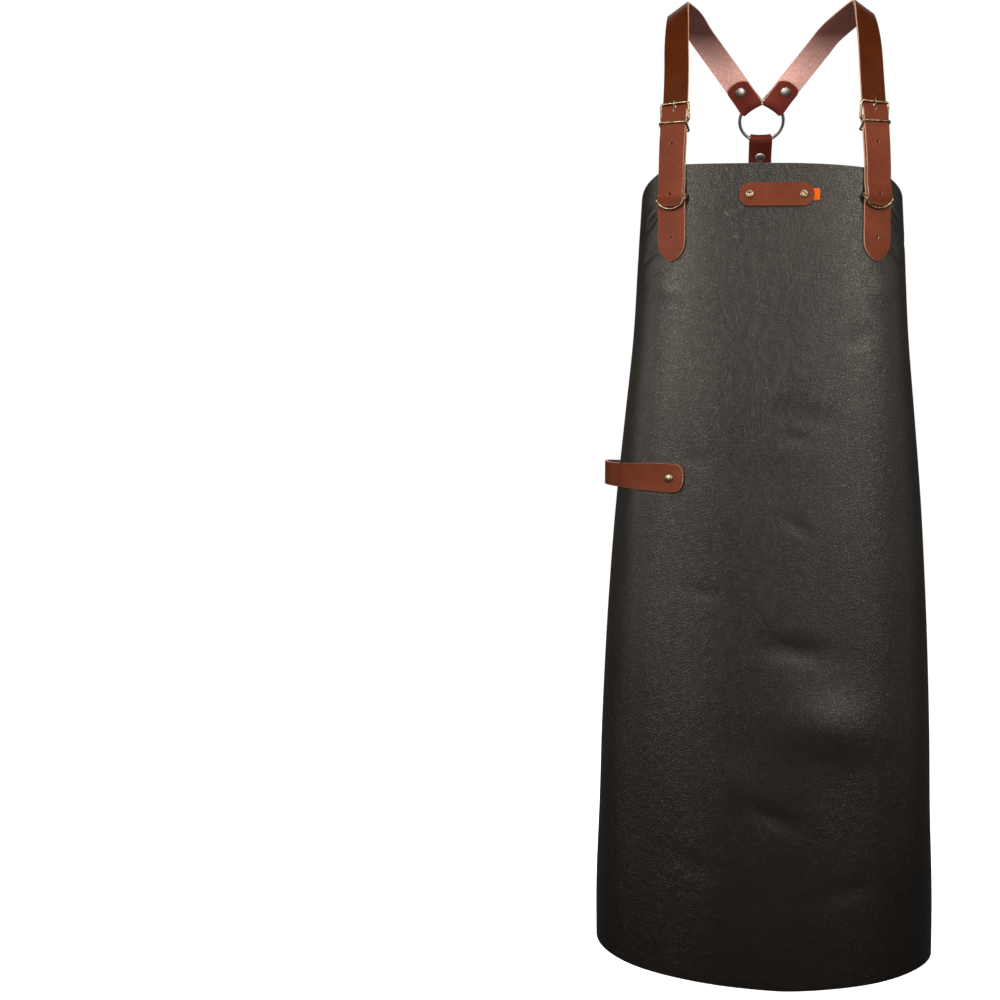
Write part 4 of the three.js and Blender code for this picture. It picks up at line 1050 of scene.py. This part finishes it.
def back_pieces():
    """The round ring and the strap that goes down the back."""
    points = [RING_CENTRE + ring_direction(2 * math.pi * k / 96) * RING_RADIUS for k in range(96)]
    wire_piece("back_ring", points, RING_WIRE * RING_SLIM, True, *NICKEL)
    waist_z = BIB_TOP - WAIST_DROP
    spine_length = SHOULDER_DROP + WAIST_DROP
    spine_back = 1.1 * RING_BACK
    offset = STRAP_THICKNESS + LAYER_GAP
    start = RING_RADIUS * 1.9
    fold = ring_fold(math.pi, BACK_STRAP_WIDTH, start, RING_TAB_LENGTH + 6)[::-1]
    end_z = waist_z + WAIST_RISE
    points = [RING_CENTRE + ring_direction(math.pi) * start + RING_NORMAL * LEG_OFFSET]
    for down, back in SPINE_ROUTE:
        last = down == 1.0
        points.append((RING_SHIFT * (1 - down), spine_back + offset if last else back * RING_BACK,
                       end_z if last else -down * spine_length))
    points.append((0, spine_back + offset, end_z - WAIST_WIDTH * 0.5))
    spine = Spline(points)
    sense = math.copysign(1, fold[0][-1][0] - fold[0][0][0])
    rows = []
    for s in steps(4, spine.length, 5):
        t = spine.t_at(s)
        tangent = spine.tangent(t)
        over = unit(np.array([1, 0, 0]) - tangent * tangent[0]) * sense * BACK_STRAP_WIDTH / 2
        rows.append([spine.point(t) + over * c for c in ACROSS])
    materials = [FLESH, EDGE, SHOULDER]
    rivet_at = np.array([0, spine_back + offset / 2, end_z])
    leather_piece("back_strap", fold + rows, HALF, -HALF, materials, [
        ring_rivet("ring_rivet_lower", math.pi, materials),
    ])
    rivet_piece("back_rivet", rivet_at, (0, 1, 0), RING_GRIP, SMALL_CAP, 1.4, *BRASS)


def waist_pieces():
    """The side strap, round the back to the panel's other edge, with its rivets."""
    waist_z = BIB_TOP - WAIST_DROP
    start, leave = -HEM_HALF_WIDTH * 0.505, -HEM_HALF_WIDTH * 0.845
    path, ups = [], []

    def slope(across):
        reach = WAIST_WIDTH / 2
        return unit(bare_face(across, waist_z + reach) - bare_face(across, waist_z - reach))

    for x in (start, (2 * start + leave) / 3, (start + 2 * leave) / 3, leave):
        across = across_at(x, waist_z)
        point = bare_face(across, waist_z) + bare_normal(across, waist_z) * (LAYER_GAP * 3 + HALF)
        point[2] = waist_z + WAIST_RISE * 0.4 * ((start - x) / (start - leave))
        path.append(point)
        ups.append(slope(across))
    for x, y, rise in WAIST_ROUTE:
        path.append((x * HEM_HALF_WIDTH, y * RING_BACK, waist_z + WAIST_RISE * rise))
        ups.append(np.array([0, 0, 1.0]))
    for across in (1.0, 0.95, 0.9, 0.86):
        normal = bare_normal(min(across, 0.99), waist_z)
        point = bare_face(across, waist_z) - normal * (PANEL_THICKNESS + BEND_SLACK + HALF)
        point[2] = waist_z + WAIST_RISE * 0.6
        path.append(point)
        ups.append(slope(across))
    waist, rising = Spline(path), Spline(ups, 10)

    def at(s):
        t = waist.t_at(s)
        tangent = waist.tangent(t)
        up = rising.point(t)
        up = unit(up - tangent * up.dot(tangent))
        return waist.point(t), up, np.cross(tangent, up)

    end_round = 12
    stations = []
    for part in ROUND_END:
        stations.append((end_round * (1 - part), WAIST_END_WIDTH / 2 * math.sqrt(1 - part ** 2.6)))
    for s in steps(end_round + 3, waist.length, 4):
        taper = smooth(s, end_round + 10, end_round + 95)
        stations.append((s, lerp(WAIST_END_WIDTH, WAIST_WIDTH, taper) / 2))
    rows = []
    for s, width in stations:
        point, up, _ = at(s)
        rows.append([point - up * c * width for c in ACROSS[::-1]])
    grip = STRAP_THICKNESS + PANEL_THICKNESS + BEND_SLACK
    left_point, _, left_normal = at(17.5)
    right_point, _, right_normal = at(waist.length - 22)
    left_axis = left_normal * (1 if left_normal[1] < 0 else -1)
    right_axis = right_normal * math.copysign(1, right_normal[0])
    materials = [COGNAC, EDGE, FLESH] if left_normal[1] < 0 else [FLESH, EDGE, COGNAC]
    leather_piece("waist_strap", rows, HALF, -HALF, materials)
    rivet_piece("waist_rivet_left", left_point + left_axis * (HALF - grip / 2), left_axis, grip,
                WAIST_RIVET_RADIUS, 2.4, *BRASS)
    rivet_piece("waist_rivet_right", right_point + right_axis * (grip / 2 - HALF), right_axis, grip,
                SMALL_CAP, 0.6, *BRASS)


def label_pieces():
    """The bare label with round ends, its dimpled rivets and the ribbon end."""
    label_z = BIB_TOP - LABEL_DROP

    def face(x, height, lift):
        across = across_at(x or 0.001, label_z)
        return bare_face(across, label_z + height) + bare_normal(across, label_z) * lift

    lift = LAYER_GAP + LABEL_THICKNESS / 2
    side = LABEL_LENGTH / 2 - LABEL_HEIGHT / 2
    radius = LABEL_HEIGHT / 2
    arcs = [math.sin(math.pi / 2 * k / 12) for k in range(1, 12)] + [0.998]
    stops = [-side - radius * a for a in arcs[::-1]]
    stops += steps(-side, side, 3)
    stops += [side + radius * a for a in arcs]
    rows = []
    for x in stops:
        inset = max(0, abs(x) - side)
        half_height = math.sqrt(max(0.8, radius ** 2 - inset ** 2))
        rows.append([face(LABEL_SHIFT + x, c * half_height, lift) for c in ACROSS])
    leather_piece("label", rows, LABEL_THICKNESS / 2, -LABEL_THICKNESS / 2 + 0.2,
                  [COGNAC, EDGE, FLESH], width=0.6)
    grip = LABEL_THICKNESS + PANEL_THICKNESS + LAYER_GAP
    for name, sign in (("left", -1), ("right", 1)):
        x = LABEL_SHIFT + sign * LABEL_RIVET_SPACING / 2
        axis = bare_normal(across_at(x, label_z), label_z)
        centre = face(x, 0, lift + LABEL_THICKNESS / 2 - grip / 2)
        rivet_piece(f"label_rivet_{name}", centre, axis, grip, LABEL_RIVET_RADIUS, 1.2,
                    *BRASS, 0.9)
    end = LABEL_SHIFT + LABEL_LENGTH / 2
    rows = [[face(x, c * RIBBON_HEIGHT / 2, LAYER_GAP + RIBBON_THICKNESS / 2) for c in ACROSS]
            for x in steps(end - RIBBON_TUCKED, end + RIBBON_SHOWN, 0.7)]
    leather_piece("ribbon_tab", rows, RIBBON_THICKNESS / 2, -RIBBON_THICKNESS / 2,
                  [RIBBON, RIBBON, RIBBON], (), 0.3)


for side_name, side_sign in (("left", -1), ("right", 1)):
    shoulder_side(side_name, side_sign)
back_pieces()
waist_pieces()
label_pieces()
panel_piece()


# Floor and light
def stage_floor():
    mesh = bpy.data.meshes.new("floor")
    reach, low = 12, -1.262  # metres
    corners = [(-reach, -reach, low), (reach, -reach, low), (reach, reach, low), (-reach, reach, low)]
    mesh.from_pydata(corners, [], [(0, 1, 2, 3)])
    material, _, shader = new_material("pale_floor")
    shader.inputs["Base Color"].default_value = (0.9, 0.9, 0.9, 1)
    shader.inputs["Roughness"].default_value = 0.9
    shader.inputs["Emission Color"].default_value = (1, 1, 1, 1)
    shader.inputs["Emission Strength"].default_value = 1.0
    mesh.materials.append(material)
    floor = bpy.data.objects.new("floor", mesh)
    bpy.context.collection.objects.link(floor)
    floor.visible_glossy = False
    floor.visible_diffuse = False


def hang_lamp(name, light, place):
    lamp = bpy.data.objects.new(name, light)
    bpy.context.collection.objects.link(lamp)
    lamp.location = place
    lamp.visible_camera = False
    return lamp


def softbox(name, place, target, width, height, power, spread=180):
    light = bpy.data.lights.new(name, "AREA")
    light.shape = "RECTANGLE"
    light.size = width
    light.size_y = height
    light.energy = power
    light.spread = math.radians(spread)
    lamp = hang_lamp(name, light, place)
    lamp.rotation_euler = (Vector(target) - Vector(place)).to_track_quat("-Z", "Y").to_euler()


def studio():
    world = bpy.data.worlds.new("studio")
    bpy.context.scene.world = world
    world.use_nodes = True
    tree = world.node_tree
    tree.nodes.clear()
    seen = add(tree, "ShaderNodeBackground", color=(1, 1, 1, 1), strength=1.0)
    fill = add(tree, "ShaderNodeBackground", color=(1, 1, 1, 1), strength=0.07)
    rays = add(tree, "ShaderNodeLightPath")
    both = add(tree, "ShaderNodeMixShader", i0=rays.outputs["Is Camera Ray"])
    tree.links.new(fill.outputs[0], both.inputs[1])
    tree.links.new(seen.outputs[0], both.inputs[2])
    output = add(tree, "ShaderNodeOutputWorld")
    tree.links.new(both.outputs[0], output.inputs[0])
    softbox("left_box", (-1.45, -2.3, 0.4), (0, -0.1, -0.19), 0.45, 1.2, 9.3, 75)
    softbox("right_box", (1.35, -2.4, 0.4), (0, -0.1, -0.19), 0.45, 1.2, 8.3, 75)
    softbox("left_strip", (-2.3, -0.55, -0.1), (0, -0.05, -0.4), 0.4, 1.6, 13)
    softbox("right_strip", (2.3, -0.55, -0.1), (0, -0.05, -0.4), 0.4, 1.6, 5)
    softbox("top_box", (0.2, -1.45, 1.75), (0, -0.1, -0.2), 1.7, 1.0, 25)
    softbox("back_box", (0.0, 2.2, 1.2), (0, 0, -0.3), 1.8, 1.4, 30)
    inner = bpy.data.lights.new("inner_fill", "POINT")
    inner.energy = 0.42
    inner.shadow_soft_size = 0.06
    hang_lamp("inner_fill", inner, (0, -0.04, -0.14))
    settings = bpy.context.scene.view_settings
    settings.view_transform = "Standard"
    settings.look = "None"


stage_floor()
studio()
